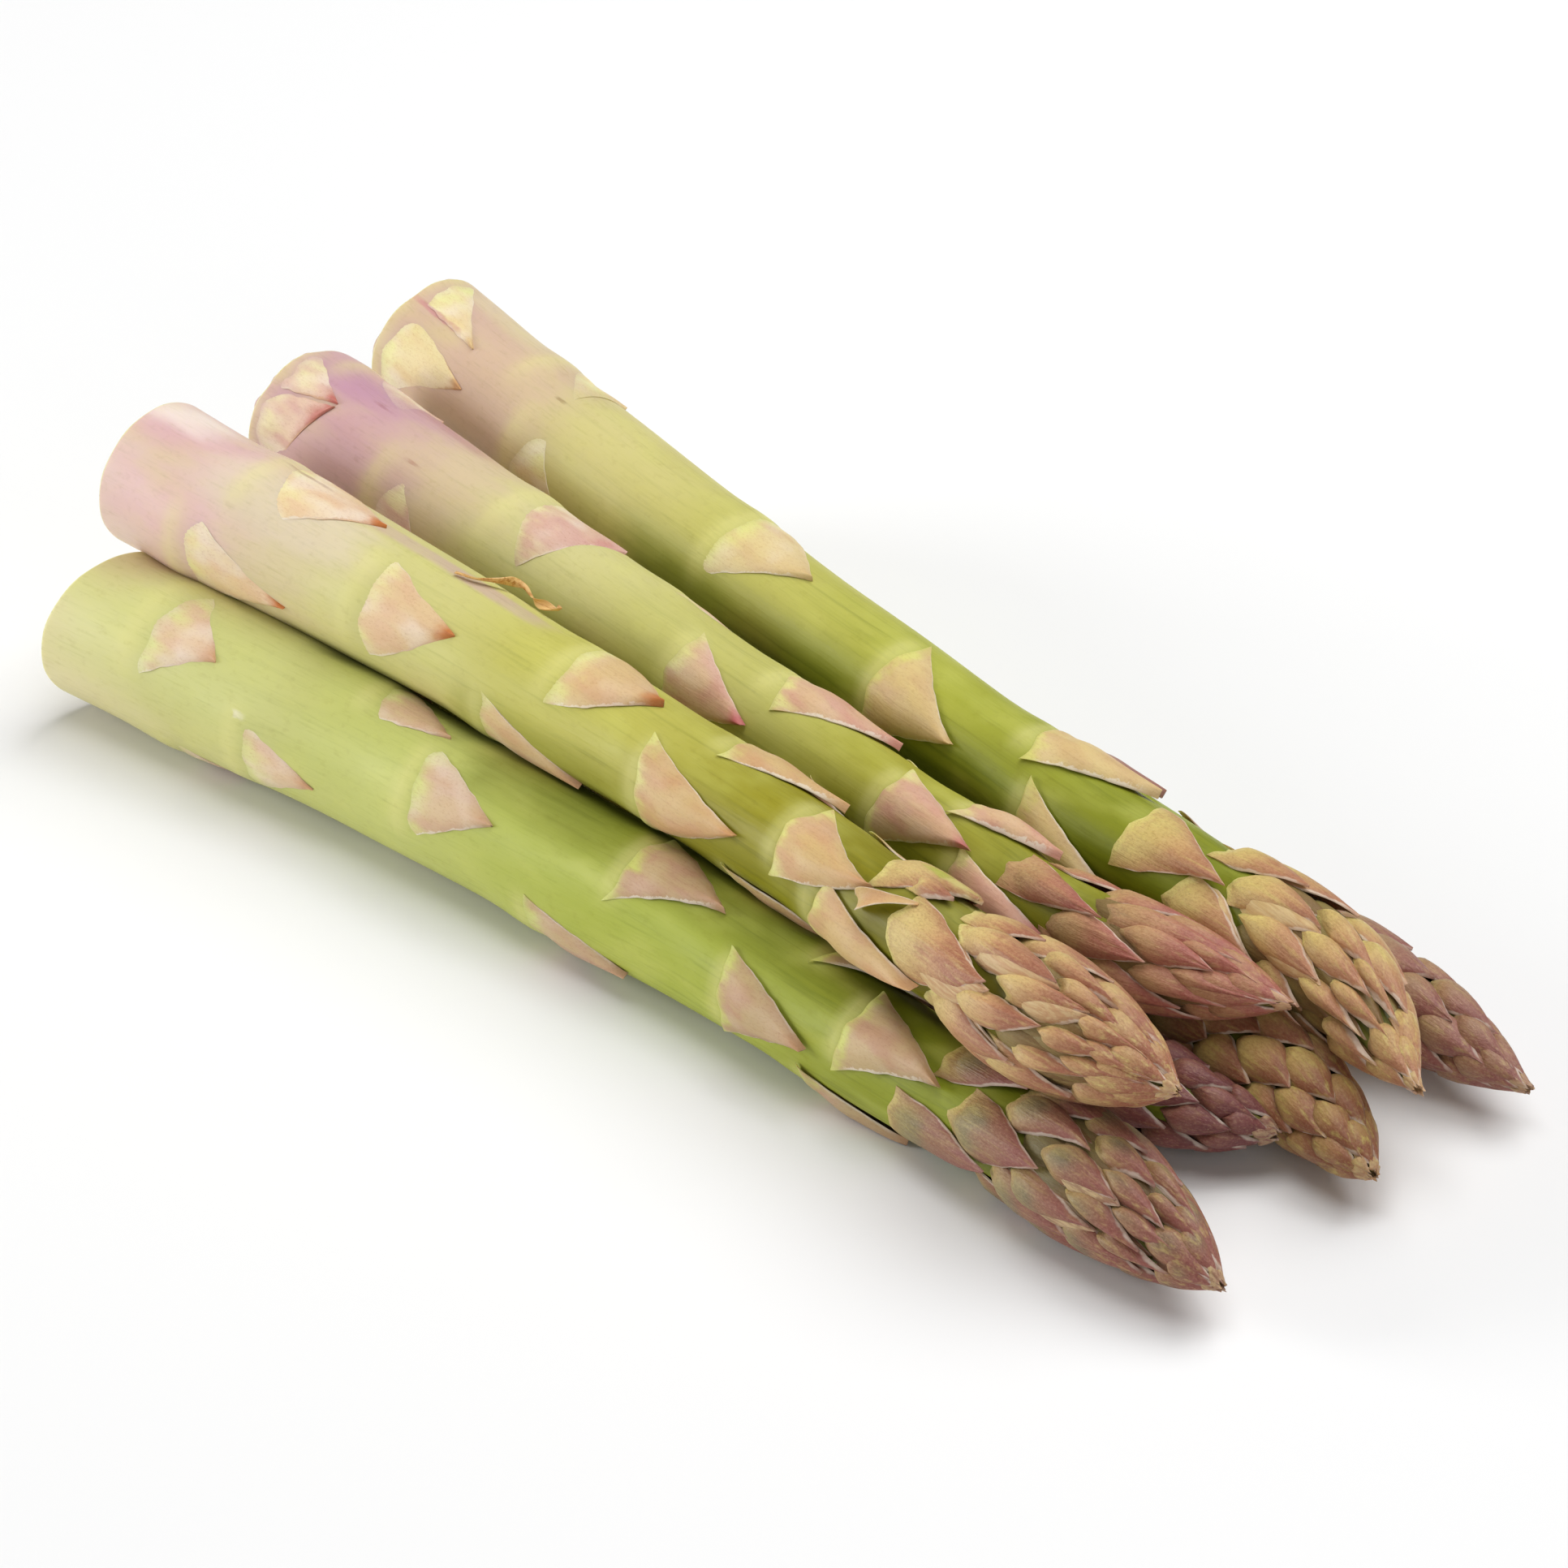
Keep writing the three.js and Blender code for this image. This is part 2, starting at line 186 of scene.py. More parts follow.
SPEARS["d"] = dict(
    spine=[(-96.3, 24.3, 22.6), (-51.1, 18.9, 21.1), (0.1, 14.9, 19.1), (36.0, 12.6, 17.6),
           (69.5, 12.1, 16.6), (93.0, 4.7, 14.6)],
    girth=[(0, 8.7), (20, 8.1), (45, 7.7), (72, 6.8), (97, 6.4), (133, 5.9)],
    tip_start=146, tip_radius=6.6, seed=44, turn=-1,
    leaves=[
        (1, 0.1, (0, 23), (0, 108), (16.8, 57), (0, 0), 0.9),
        (2, 0.1, (0, -36), (0, 17), (13.9, 24), (0, -0.1), 0.4),
        (3, 28.5, (3.8, 33), (0, 145), (38.6, 98), (0, 0), 0.2),
        (4, 64.6, (0, -70), (-0.8, 75), (79.1, 3), (0, 0), 0.1),
        (5, 97, (1.5, -14), (-0.5, 108), (112.3, 59), (-0.25, 0.1), 0.3),
        (6, 119.4, (-0.5, -70), (2.7, 26), (137, -32), (0, 0.2), 0.1),
        (7, 124.2, (1.1, 46), (-1, 132), (139.6, 97), (-0.1, 0), 0.4),
        plain(12, 178),
        (None, 22, (0, -110), (9.2, 22), (32.5, -50), (0, -0.3), 0.2),
        plain(48, -140), plain(76, -118), plain(87, 168, 13, 40), plain(105, -114), plain(129, -116, 11)],
    scales=[
        (138.5, (0.9, -22), (0.9, 71), (155.1, 34), (-0.1, -0.9)),
        (147, (2.9, 38), (2, 118), (162.6, 77), (-0.2, 0.1)),
        (148.8, (0.5, -62), (1.2, 4), (162, -18), (0, 0)),
        (153.9, (2.4, -9), (2, 47), (168.9, 13), (0.5, -0.5)),
        (158, (3, 32), (4.2, 71), (174, 51), (0.4, 0.4)),
        (162.2, (2, 73), (2.5, 112), (173, 90), (0.2, 0.4)),
        (164.8, (1.2, -24), (3, 9), (177, -8), (0.3, 0.4)),
        (166, (3.6, 9), (3.6, 44), (179.8, 12), (0.3, 0.5)),
        (169.4, (3.5, 50), (3, 79), (182.8, 60), (0.3, 0.3)),
        (172.6, (1.5, -11), (2.5, 11), (184, -11), (0.2, 0.4)),
        (173.4, (3, 26), (3, 54), (186.4, 18), (0.3, 0.5)),
        (175.5, (2, 76), (2.5, 108), (186, 88), (0.4, 0.4))],
    spiral=(145, -80, 33, 15.5, 3.9), fullness=1.15, plump=1.05, fringed=(1, 3, 4))
SPEARS["e"] = dict(
    spine=[(-70.8, -11.7, 9.0), (-15.8, -9.7, 8.0), (31.2, -8.5, 7.1), (56.2, -7.7, 6.6),
           (68.2, -7.3, 6.6), (79.2, -2.5, 5.4)],
    girth=[(0, 8.2), (55, 7.2), (102, 6.0), (120, 5.3)],
    tip_start=110, tip_radius=5.7, seed=55, turn=-1,
    leaves=[plain(16, 85, node=1), plain(40, -90, node=2), plain(66, 85, node=3), plain(90, -80, node=4)],
    spiral=(101, 40, 48, 10.5, 3.3), fullness=0.75, plump=1.2)
SPEARS["f"] = dict(
    spine=[(-76.8, 11.9, 8.8), (-15.8, 8.5, 8.0), (31.2, 6.1, 7.1), (56.2, 5.5, 6.7),
           (74.2, 4.1, 6.7), (91.7, -0.3, 5.4)],
    girth=[(0, 7.9), (61, 7.1), (108, 6.2), (128, 5.6)],
    tip_start=126, tip_radius=5.9, seed=66, turn=1,
    leaves=[plain(16, -105, node=1), plain(40, 85, node=2), plain(66, -105, node=3), plain(92, 80, node=4)],
    spiral=(117, -20, 44, 13.5, 3.9), fullness=0.8, plump=1.2)
SPEARS["g"] = dict(
    spine=[(-82.8, 34.5, 8.8), (-22.8, 27.5, 7.8), (31.2, 24.9, 6.9), (56.2, 25.2, 6.5),
           (73.2, 25.0, 6.3), (90.4, 24.3, 5.4)],
    girth=[(0, 8.0), (60, 7.0), (114, 6.1), (132, 5.4)],
    tip_start=128, tip_radius=5.6, seed=77, turn=-1,
    leaves=[plain(18, -70, node=1), plain(34, 50, node=2), plain(54, -60, node=3), plain(76, -110, node=4),
            plain(96, -40, node=5), plain(112, -100, node=6)],
    spiral=(122, 30, 36, 14.0, 4.1), fullness=1.0, plump=1.1)

TIP_SHOULDER = 0.36  # the share of the tip over which it widens
TIP_TAPER_POWER = 2.1
TIP_END_RADIUS = 0.35
CORE_DROP = 1.15  # how much thinner the stem is inside the tip
CUT_FADE = 12  # how far up the stem the lean of its cut end is felt
FLOOR_GAP = 0.03  # nothing is lower than this above the floor


def srgb(*rgb):
    """0-255 screen values to the linear colour that shader sockets take."""
    unit = [c / 255 for c in rgb]
    return tuple(c / 12.92 if c <= 0.04045 else ((c + 0.055) / 1.055) ** 2.4 for c in unit) + (1.0,)


# ---- geometry helpers
def smoothstep(low, high, x):
    """Ease from 0 at low to 1 at high."""
    t = np.clip((np.asarray(x, float) - low) / (high - low), 0, 1)
    return t * t * (3 - 2 * t)


def hermite(t, a, b, leaving, arriving):
    """A curve from a to b, with the slopes it leaves and arrives with."""
    ends = (2 * t**3 - 3 * t**2 + 1) * a + (3 * t**2 - 2 * t**3) * b
    return ends + (t**3 - 2 * t**2 + t) * leaving + (t**3 - t**2) * arriving


def smooth_through(knots, x):
    """A smooth curve through (x, y) knots, level past the ends."""
    xs, ys = (np.array(k, float) for k in zip(*knots))
    slopes = np.gradient(ys, xs)
    x = np.clip(x, xs[0], xs[-1])
    i = np.clip(np.searchsorted(xs, x, side="right") - 1, 0, len(xs) - 2)
    span = xs[i + 1] - xs[i]
    return hermite((x - xs[i]) / span, ys[i], ys[i + 1], span * slopes[i], span * slopes[i + 1])


def stacked(x, y, z):
    """Three coordinates as one array of vectors."""
    return np.stack(np.broadcast_arrays(x, y, z), -1)


class Spine:
    """A smooth line through the spine's points, measured by distance from the cut end."""

    def __init__(self, points):
        p = np.array(points, float)
        p = np.vstack([2 * p[0] - p[1], p, 2 * p[-1] - p[-2]])
        t = np.linspace(0, 1, 200, endpoint=False)[:, None]
        runs = []
        for a, b, c, d in zip(p[:-3], p[1:-2], p[2:-1], p[3:]):
            runs.append(hermite(t, b, c, (c - a) / 2, (d - b) / 2))
        self.line = np.vstack(runs + [p[-2:-1]])
        steps = np.linalg.norm(np.diff(self.line, axis=0), axis=1)
        self.run = np.concatenate([[0], np.cumsum(steps)])
        self.length = self.run[-1]
        self.heading = np.gradient(self.line, self.run, axis=0)

    def place(self, distance, clock, radius):
        """Points at a distance, a clock angle in degrees and a radius, past the ends too."""
        distance, clock, radius = np.broadcast_arrays(distance, np.radians(clock), radius)
        inside = np.clip(distance, 0, self.length)
        centre = stacked(*(np.interp(inside, self.run, column) for column in self.line.T))
        heading = stacked(*(np.interp(inside, self.run, column) for column in self.heading.T))
        heading /= np.linalg.norm(heading, axis=-1, keepdims=True)
        centre = centre + heading * (distance - inside)[..., None]
        top = np.array([0, 0, 1.0]) - heading * heading[..., 2:]
        top /= np.linalg.norm(top, axis=-1, keepdims=True)
        far = np.cross(top, heading)
        out = np.cos(clock)[..., None] * top - np.sin(clock)[..., None] * far
        return centre + radius[..., None] * out


def clock_gap(clock, middle=0):
    """How far round a clock is from another, from -180 to 180 degrees."""
    return (clock - middle + 180) % 360 - 180


def leaf_foot(leaf):
    """Where a leaf joins the stem: distance, clock and half its arc."""
    _, at, (_, upper), (_, lower), _, _, _ = leaf
    return at, (upper + lower) / 2, (lower - upper) / 2


class Spear:
    """One spear's data, middle line, random numbers and radii."""

    def __init__(self, name, data):
        self.name = name
        self.cut_lean = (0, 0)
        self.swelling = (0, 0, 1, 1, 0)
        self.scales = []
        self.ribbons = []
        self.fringed = ()
        self.raised = {}
        self.__dict__.update(data)
        self.line = Spine(self.spine)
        self.length = self.line.length
        self.random = np.random.default_rng(self.seed)
        self.phase = self.random.uniform(0, 2 * np.pi, 8)

    def envelope(self, s):
        """Radius of the stem, and past tip_start of the tip's outline."""
        stem = smooth_through(self.girth, s)
        part = np.clip((s - self.tip_start) / (self.length - self.tip_start), 0, 1)
        base = smooth_through(self.girth, self.tip_start)
        swell = base + (self.tip_radius - base) * np.sin(np.clip(part / TIP_SHOULDER, 0, 1) * np.pi / 2)
        fall = np.clip((part - TIP_SHOULDER) / (1 - TIP_SHOULDER), 0, 1)
        narrowing = (1 - fall**TIP_TAPER_POWER) ** self.fullness
        taper = TIP_END_RADIUS + (self.tip_radius - TIP_END_RADIUS) * narrowing
        return np.where(s < self.tip_start, stem, np.where(part < TIP_SHOULDER, swell, taper))

    def flesh(self, s, clock):
        """Radius of the solid stem, which thins inside the tip and swells a little under each leaf."""
        s, clock = np.broadcast_arrays(np.asarray(s, float), np.asarray(clock, float))
        radius = self.envelope(s)
        drop = CORE_DROP * smoothstep(self.tip_start - 4, self.tip_start + 8, s)
        radius = radius - np.minimum(drop, radius * 0.25)
        turn = np.radians(clock)
        p = self.phase
        # It is a little out of round, and a little wavy along its length.
        radius = radius * (1 + 0.012 * np.cos(2 * turn + p[0]) + 0.006 * np.cos(3 * turn + p[1] + s / 40))
        radius = radius + 0.07 * np.sin(s / 9 + p[2]) * np.cos(turn + p[3])
        radius = radius + 0.05 * np.sin(s / 4.6 + p[4] + turn)
        for leaf in self.leaves:
            at, middle, half = leaf_foot(leaf)
            away = clock_gap(clock, middle)
            along = np.exp(-(((s - at + 0.5) / np.where(s < at, 5.0, 3.0)) ** 2))
            radius = radius + 0.5 * along * np.exp(-((away / (half * 0.95)) ** 4))
        at, middle, long, half, height = self.swelling
        away = clock_gap(clock, middle)
        return radius + height * np.exp(-(((s - at) / long) ** 2) - (away / half) ** 2)


def placed(name, data):
    """A new object in the scene."""
    thing = bpy.data.objects.new(name, data)
    bpy.context.scene.collection.objects.link(thing)
    return thing


def mesh_object(name, points, faces, attributes, material, smooth_angle=50, second=None, second_from=0):
    """A mesh from points in mm. Faces from second_from on take the second material, if there is one."""
    points[:, 2] = np.maximum(points[:, 2], FLOOR_GAP)
    mesh = bpy.data.meshes.new(name)
    mesh.from_pydata((points * MM).tolist(), [], faces)
    mesh.update()
    for key, values in attributes.items():
        layer = mesh.attributes.new(key, "FLOAT_VECTOR", "POINT")
        layer.data.foreach_set("vector", np.asarray(values, np.float32).ravel())
    mesh.polygons.foreach_set("use_smooth", np.ones(len(mesh.polygons), bool))
    mesh.set_sharp_from_angle(angle=math.radians(smooth_angle))
    mesh.materials.append(material)
    if second:
        mesh.materials.append(second)
        mesh.polygons.foreach_set("material_index", np.arange(len(faces)) >= second_from)
    return placed(name, mesh)


def grid_faces(rows, columns, first=0, closed=False, flip=False):
    """Four-sided faces over a grid of points, joined round if it is closed."""
    faces = []
    for row in range(first, first + (rows - 1) * columns, columns):
        for c in range(columns if closed else columns - 1):
            a, b = row + c, row + (c + 1) % columns
            quad = (a, b, b + columns, a + columns)
            faces.append(quad[::-1] if flip else quad)
    return faces


def straight(s, clock, radius):
    """Where a point would be on the same spear unbent: a coordinate for streaks and mottling."""
    turn = np.radians(clock)
    return stacked(s, radius * np.cos(turn), radius * np.sin(turn))


# ---- stems
STEM_SIDES = 96 if FINE else 64
STEM_STEP = 0.9 if FINE else 1.4
# Rings of the cut end, from its middle out: (share of the radius, how far into the spear)
CUT_RINGS = [(0.12, 0.44), (0.3, 0.40), (0.5, 0.34), (0.68, 0.26), (0.82, 0.16), (0.91, 0.05),
             (0.96, -0.02), (0.985, 0.02), (0.997, 0.14)]


def cut_shift(spear, s, clock, share=1.0):
    """How far the cut end leans along the spear, fading out up the stem and towards the cut's middle."""
    lean, middle = spear.cut_lean
    fade = np.clip(1 - s / CUT_FADE, 0, 1)
    return lean * fade * (1 + share * np.cos(np.radians(clock - middle)))


def stem_object(spear, material):
    """The solid stem with its cut end, which runs on a little inside the tip."""
    clock = -np.arange(STEM_SIDES) * 360 / STEM_SIDES
    end = spear.tip_start + 8
    # Each ring is its distance, how far it leans and its radius.
    rings = []
    for share, depth in CUT_RINGS:
        ragged = 0.05 * np.sin(9 * np.radians(clock) + spear.phase[5]) * share**4
        rings.append((depth + ragged, cut_shift(spear, 0, clock, share), spear.flesh(0.3, clock) * share))
    for s in (0.32, 0.6, *np.arange(STEM_STEP * 2, end, STEM_STEP)):
        rings.append((s, cut_shift(spear, s, clock), spear.flesh(s, clock)))
    rings.append((end, 0.5, spear.flesh(end, clock) * 0.5))
    count = len(rings)
    s, lean, radius = np.transpose([np.broadcast_arrays(*ring) for ring in rings], (1, 0, 2))
    points = spear.line.place(s + lean, clock, radius).reshape(-1, 3)
    flat = straight(s, clock, radius).reshape(-1, 3)
    points = np.vstack([points, points[:STEM_SIDES].mean(0), spear.line.place(end + 0.6, 0, 0)])
    flat = np.vstack([flat, [0.4, 0, 0], [end, 0, 0]])
    faces = grid_faces(count, STEM_SIDES, closed=True, flip=True)
    near, away = len(points) - 2, len(points) - 1
    last = (count - 1) * STEM_SIDES
    for k in range(STEM_SIDES):
        after = (k + 1) % STEM_SIDES
        faces.append((near, k, after))
        faces.append((away, last + after, last + k))
    # The skin is paler along the foot of each leaf, and the cut end has a colour of its own.
    s, clocks = flat[:, 0], np.degrees(np.arctan2(flat[:, 2], flat[:, 1]))
    glow = np.zeros(len(flat))
    for leaf in spear.leaves:
        at, middle, half = leaf_foot(leaf)
        along = np.exp(-(((s - at + 0.3) / np.where(s < at - 0.3, 1.3, 2.0)) ** 2))
        glow += along * np.exp(-((clock_gap(clocks, middle) / (half * 1.02)) ** 6))
    cut = np.zeros(len(flat))
    cut[: len(CUT_RINGS) * STEM_SIDES] = 1
    cut[near] = 1
    marks = stacked(np.clip(glow, 0, 1), cut, 0)
    attributes = {"straight": flat, "marks": marks}
    return mesh_object(f"spear_{spear.name}_stalk", points, faces, attributes, material, 65)


# ---- leaves and scales
# Points across and along a leaf, a scale of the tip, one of its spiral, and one deeper in it
LEAF_GRID = (23, 28) if FINE else (15, 20)
SCALE_GRID = (17, 22) if FINE else (11, 15)
SPIRAL_GRID = (13, 17) if FINE else (9, 12)
UNDER_GRID = (9, 12)
UNDER_SCALES = 30
UNDER_DEPTH = 1.2
FRINGE_DEPTH = 0.3
TUFT_SCALES = 9
TUFT_FLARE = 0.55
SCALE_DRYNESS = 0.2
# the dryness value that marks the scales deeper in the tip, which the tip's material paints dark as shade
UNDER_SHADE_MARK = -1.0
LISTED_CLOCKS = (-26, 112)  # the side of a tip where its scales are listed
BARE_END = 13  # how far from the apex the listed ones stop

# How far a tip's scale stands out from the tip's outline, from its base (0) to its point (1)
TIP_LIFT = [(0, -0.65), (0.3, -0.4), (0.55, -0.15), (0.8, 0.18), (1, 0.32)]

RIBBON_POINTS = 7
RIBBON_THICKNESS = 0.14
RIBBON_CURL = 0.35

# In each pair the first is for a leaf of the stem, the second for a scale of the tip.
SHOULDER = (0.1, 0.15)  # share of its length over which it rises out of what is under it
FOOT_WAVE = (0.22, 0.26)  # how wavy the line of its foot is
THICKNESS = (0.42, 0.5)
ROOT_DEPTH = (0.15, 0.2)  # how deep in the skin its foot starts
EAR_SPREAD = (0.15, 0.1)  # how much wider the ears at the corners make its foot
EAR_SHARE = 0.09  # share of the leaf's length that an ear takes up
EAR_REACH = 1.2  # how far it reaches back down the stem
EAR_LIFT = 0.5
SIDE_DROP = 0.36  # how much lower the sides of a scale lie than its middle
SKIN_GAP = 0.3  # how far above bare skin a scale's surface stays at least
THINNEST = 0.03
LEAST_RADIUS = 0.25


def bowed(v, bow):
    """Share of the way from a leaf's corner to its point, for a side that bulges or curves in."""
    return v ** (1 + bow) if bow > 0 else 1 - (1 - v) ** (1 - bow)


def climb(v, share):
    """Rise from 0 to 1 like a quarter of a circle over the first share of a leaf's length."""
    return np.sqrt(np.clip(1 - (1 - np.clip(v / share, 0, 1)) ** 2, 0, 1))


def closed_sheet(top, under, *coordinates):
    """Points, faces and coordinates of one closed piece, from the grids of its two sides."""
    rows, columns = top.shape[:2]
    count = rows * columns
    faces = grid_faces(rows, columns) + grid_faces(rows, columns, first=count, flip=True)
    index = np.arange(count).reshape(rows, columns)
    rim = np.concatenate([index[0], index[1:, -1], index[-1, -2::-1], index[-2:0:-1, 0]]).tolist()
    for a, b in zip(rim, rim[1:] + rim[:1]):
        faces.append((b, a, a + count, b + count))
    points = np.vstack([top.reshape(-1, 3), under.reshape(-1, 3)])
    return [points, faces] + [np.vstack([x.reshape(-1, 3)] * 2) for x in coordinates]


def leaf_surface(spear, s, clock, u, v, shake, up_stem, ear):
    """Outer radius and thickness of a leaf, which rises out of the skin and stands clear at its point."""
    side = np.abs(u)
    stand = 0.08 + 0.5 * up_stem
    rise = (1 - stand) * smoothstep(0, 0.3, v) + stand * climb(v, SHOULDER[0])
    body = 0.24 + 0.83 * up_stem + (0.10 + 0.37 * up_stem) * smoothstep(0.5, 1, v)
    belly = (1 - u**2) * smoothstep(0.04, 0.42, v) * (1 - 0.6 * smoothstep(0.4, 1, v))
    body = body * (1 - (0.9 - 0.35 * up_stem) * side**3) + 0.75 * up_stem * belly
    body = body + 0.10 * np.sin(v * 5 + u * 2.5 + shake[4])
    outer = spear.flesh(s, clock) + rise * body - ROOT_DEPTH[0] * (1 - rise) + EAR_LIFT * ear
    thick = THICKNESS[0] * (1 - 0.72 * side**3) * (1 - 0.6 * v) * (0.4 + 0.6 * rise)
    return outer, thick


def scale_surface(spear, s, clock, u, v, shake, sunk, flare):
    """Outer radius and thickness of a scale of the tip, which follows the tip's outline."""
    side = np.abs(u)
    rise = climb(v, SHOULDER[1])
    mound = (1 - side**2.2) ** 0.8 * smoothstep(0, 0.25, v) * (1 - 0.75 * smoothstep(0.35, 1, v))
    relief = smooth_through(TIP_LIFT, v) + spear.plump * mound - SIDE_DROP * side**3 * (1 - v)
    relief = relief + flare * v**3 + 0.06 * np.sin(v * 5 + u * 3 + shake[5]) - sunk
    relief = relief + 0.05 * np.sin(u * 7 + shake[4]) * smoothstep(0.05, 0.4, v) * (1 - side)
    ground = spear.flesh(s, clock)
    outline = spear.envelope(s)
    level = outline + relief * np.clip(outline / 3.0, 0.2, 1)
    # The corners of the foot stay above bare skin, unless the scale lies deeper in the tip.
    if sunk <= 0:
        level = np.maximum(level, ground + SKIN_GAP)
    outer = (1 - rise) * (ground - ROOT_DEPTH[1]) + rise * level
    thick = THICKNESS[1] * (1 - 0.6 * side**3) * (1 - 0.6 * v) * (0.4 + 0.6 * rise)
    return outer, thick


def leaf_shell(spear, leaf, grid, on_tip, sunk=0.0, flare=0.0):
    """Points, faces and coordinates of one closed leaf, rooted on the stem or packed on the tip."""
    _, base, (up_on, up), (low_on, low), (tip, tip_clock), (up_bow, low_bow), dry = leaf
    across, rows = grid
    shake = spear.random.uniform(0, 2 * np.pi, 6)
    u = np.sin(np.linspace(-np.pi / 2, np.pi / 2, across)) * 0.5 + np.linspace(-1, 1, across) * 0.5
    u, v = np.meshgrid(u, np.linspace(0, 1, rows) ** 1.25)
    side = np.abs(u)
    # Leaves high on the stem are bolder, and the corners of their feet flare out into small ears.
    up_stem = float(smoothstep(30, spear.tip_start - 8, base))
    ear = up_stem * side**4 * np.exp(-((v / EAR_SHARE) ** 2))
    wave = np.sin(u * 4.2 + shake[0]) + 0.7 * np.sin(u * 9 + shake[1])
    foot = base + np.where(u < 0, up_on, low_on) * side**1.3 + FOOT_WAVE[on_tip] * wave
    above = (tip - foot) * v
    s = foot + above - EAR_REACH * ear
    upper = up + (tip_clock - up) * bowed(v, up_bow)
    lower = low + (tip_clock - low) * bowed(v, low_bow)
    half = (lower - upper) / 2
    if on_tip:
        half = half * (1 + 0.14 * smoothstep(0, 0.3, v) + 0.9 * v * (1 - v) ** 2) + 0.5
    else:
        half = half + 0.35
    half = half * (1 + EAR_SPREAD[on_tip] * ear)
    ragged = (np.sin(v * 21 + shake[2]) + 0.8 * np.sin(v * 37 + shake[3])) * np.sin(np.pi * v)
    clock = (upper + lower) / 2 + u * half + 0.5 * ragged * side**4 * np.sign(u)
    if on_tip:
        outer, thick = scale_surface(spear, s, clock, u, v, shake, sunk, flare)
    else:
        outer, thick = leaf_surface(spear, s, clock, u, v, shake, up_stem, ear)
    outer = np.maximum(outer, LEAST_RADIUS)
    inner = np.maximum(outer - thick - THINNEST, LEAST_RADIUS / 5)
    edge = (1 - side) * np.abs(np.radians(half) * spear.envelope(s))
    look = stacked(u, v, dry)
    reach = stacked(edge, above, tip - s)
    top = spear.line.place(s, clock, outer)
    under = spear.line.place(s, clock, inner)
    return closed_sheet(top, under, look, reach, straight(s, clock, outer))


def shells_object(name, shells, material, **second):
    """One piece of the model made of closed shells."""
    points, faces, looks, reaches, flats = zip(*shells)
    starts = np.cumsum([0] + [len(p) for p in points])
    shifted = [tuple(i + int(start) for i in face) for start, own in zip(starts, faces) for face in own]
    attributes = {"leaf": np.vstack(looks), "reach": np.vstack(reaches), "straight": np.vstack(flats)}
    return mesh_object(name, np.vstack(points), shifted, attributes, material, **second)


def spiral_scales(spear):
    """Scales that climb the tip in a golden spiral, where none are listed and at its very end."""
    first, clock, count, length, half = spear.spiral
    room = spear.length - 6.0 - first
    made = []
    for i in range(count):
        part = i / count
        base = first + room * (1 - (1 - part) ** 1.2)
        at = clock_gap(clock + spear.turn * GOLDEN * i)
        listed = LISTED_CLOCKS[0] < at < LISTED_CLOCKS[1] and base < spear.length - BARE_END
        if spear.scales and listed:
            continue
        long = min(length * (1 - 0.35 * part), spear.length + 0.2 - base)
        girth = max(float(spear.envelope(base + 0.3 * long)), 1.4)
        arc = min(56, math.degrees(half * (1 - 0.45 * part) / girth))
        corner = (0.2 + 0.12 * part) * long
        shift = spear.random.uniform(-4, 4)
        bows = tuple(spear.random.uniform(0.1, 0.8, 2))
        dry = spear.random.uniform(0.1, 0.5)
        made.append(plain(base, at, long, arc, corner, bows, dry, shift))
    return made


def under_scales(spear):
    """Scales deeper in the tip, seen between the listed ones; their colour is painted shade."""
    first, last = spear.tip_start + 9, spear.length - 16
    made = []
    for i in range(UNDER_SCALES):
        base = first + (last - first) * i / UNDER_SCALES
        at = clock_gap(spear.spiral[1] + 70 + spear.turn * GOLDEN * i)
        made.append(plain(base, at, 12, 32, 2.5, (0.4, 0.4), UNDER_SHADE_MARK))
    return made


def tuft_scales(spear):
    """The small ragged ends that crown the tip."""
    made = []
    for i in range(TUFT_SCALES):
        at = i * 360 / TUFT_SCALES + spear.random.uniform(-12, 12)
        base = spear.length - spear.random.uniform(1.1, 2.7)
        long = spear.length + spear.random.uniform(-0.3, 0.6) - base
        made.append(plain(base, at, long, 38, 0.6, (0.7, 0.7), 1.6))
    return made


def papery_fringe(scale):
    """A second, papery margin that shows along the lower side of a scale's point."""
    _, base, (up_on, up), (low_on, low), (tip, clock), (up_bow, low_bow), _ = scale
    shift = 0.09 * (low - up)
    corners = (up_on + 1, up), (low_on + 1.5, low + shift)
    point = (tip + 0.6, clock + 0.7 * shift)
    return (None, base + 1.2, *corners, point, (up_bow, low_bow + 0.5), 2.0)


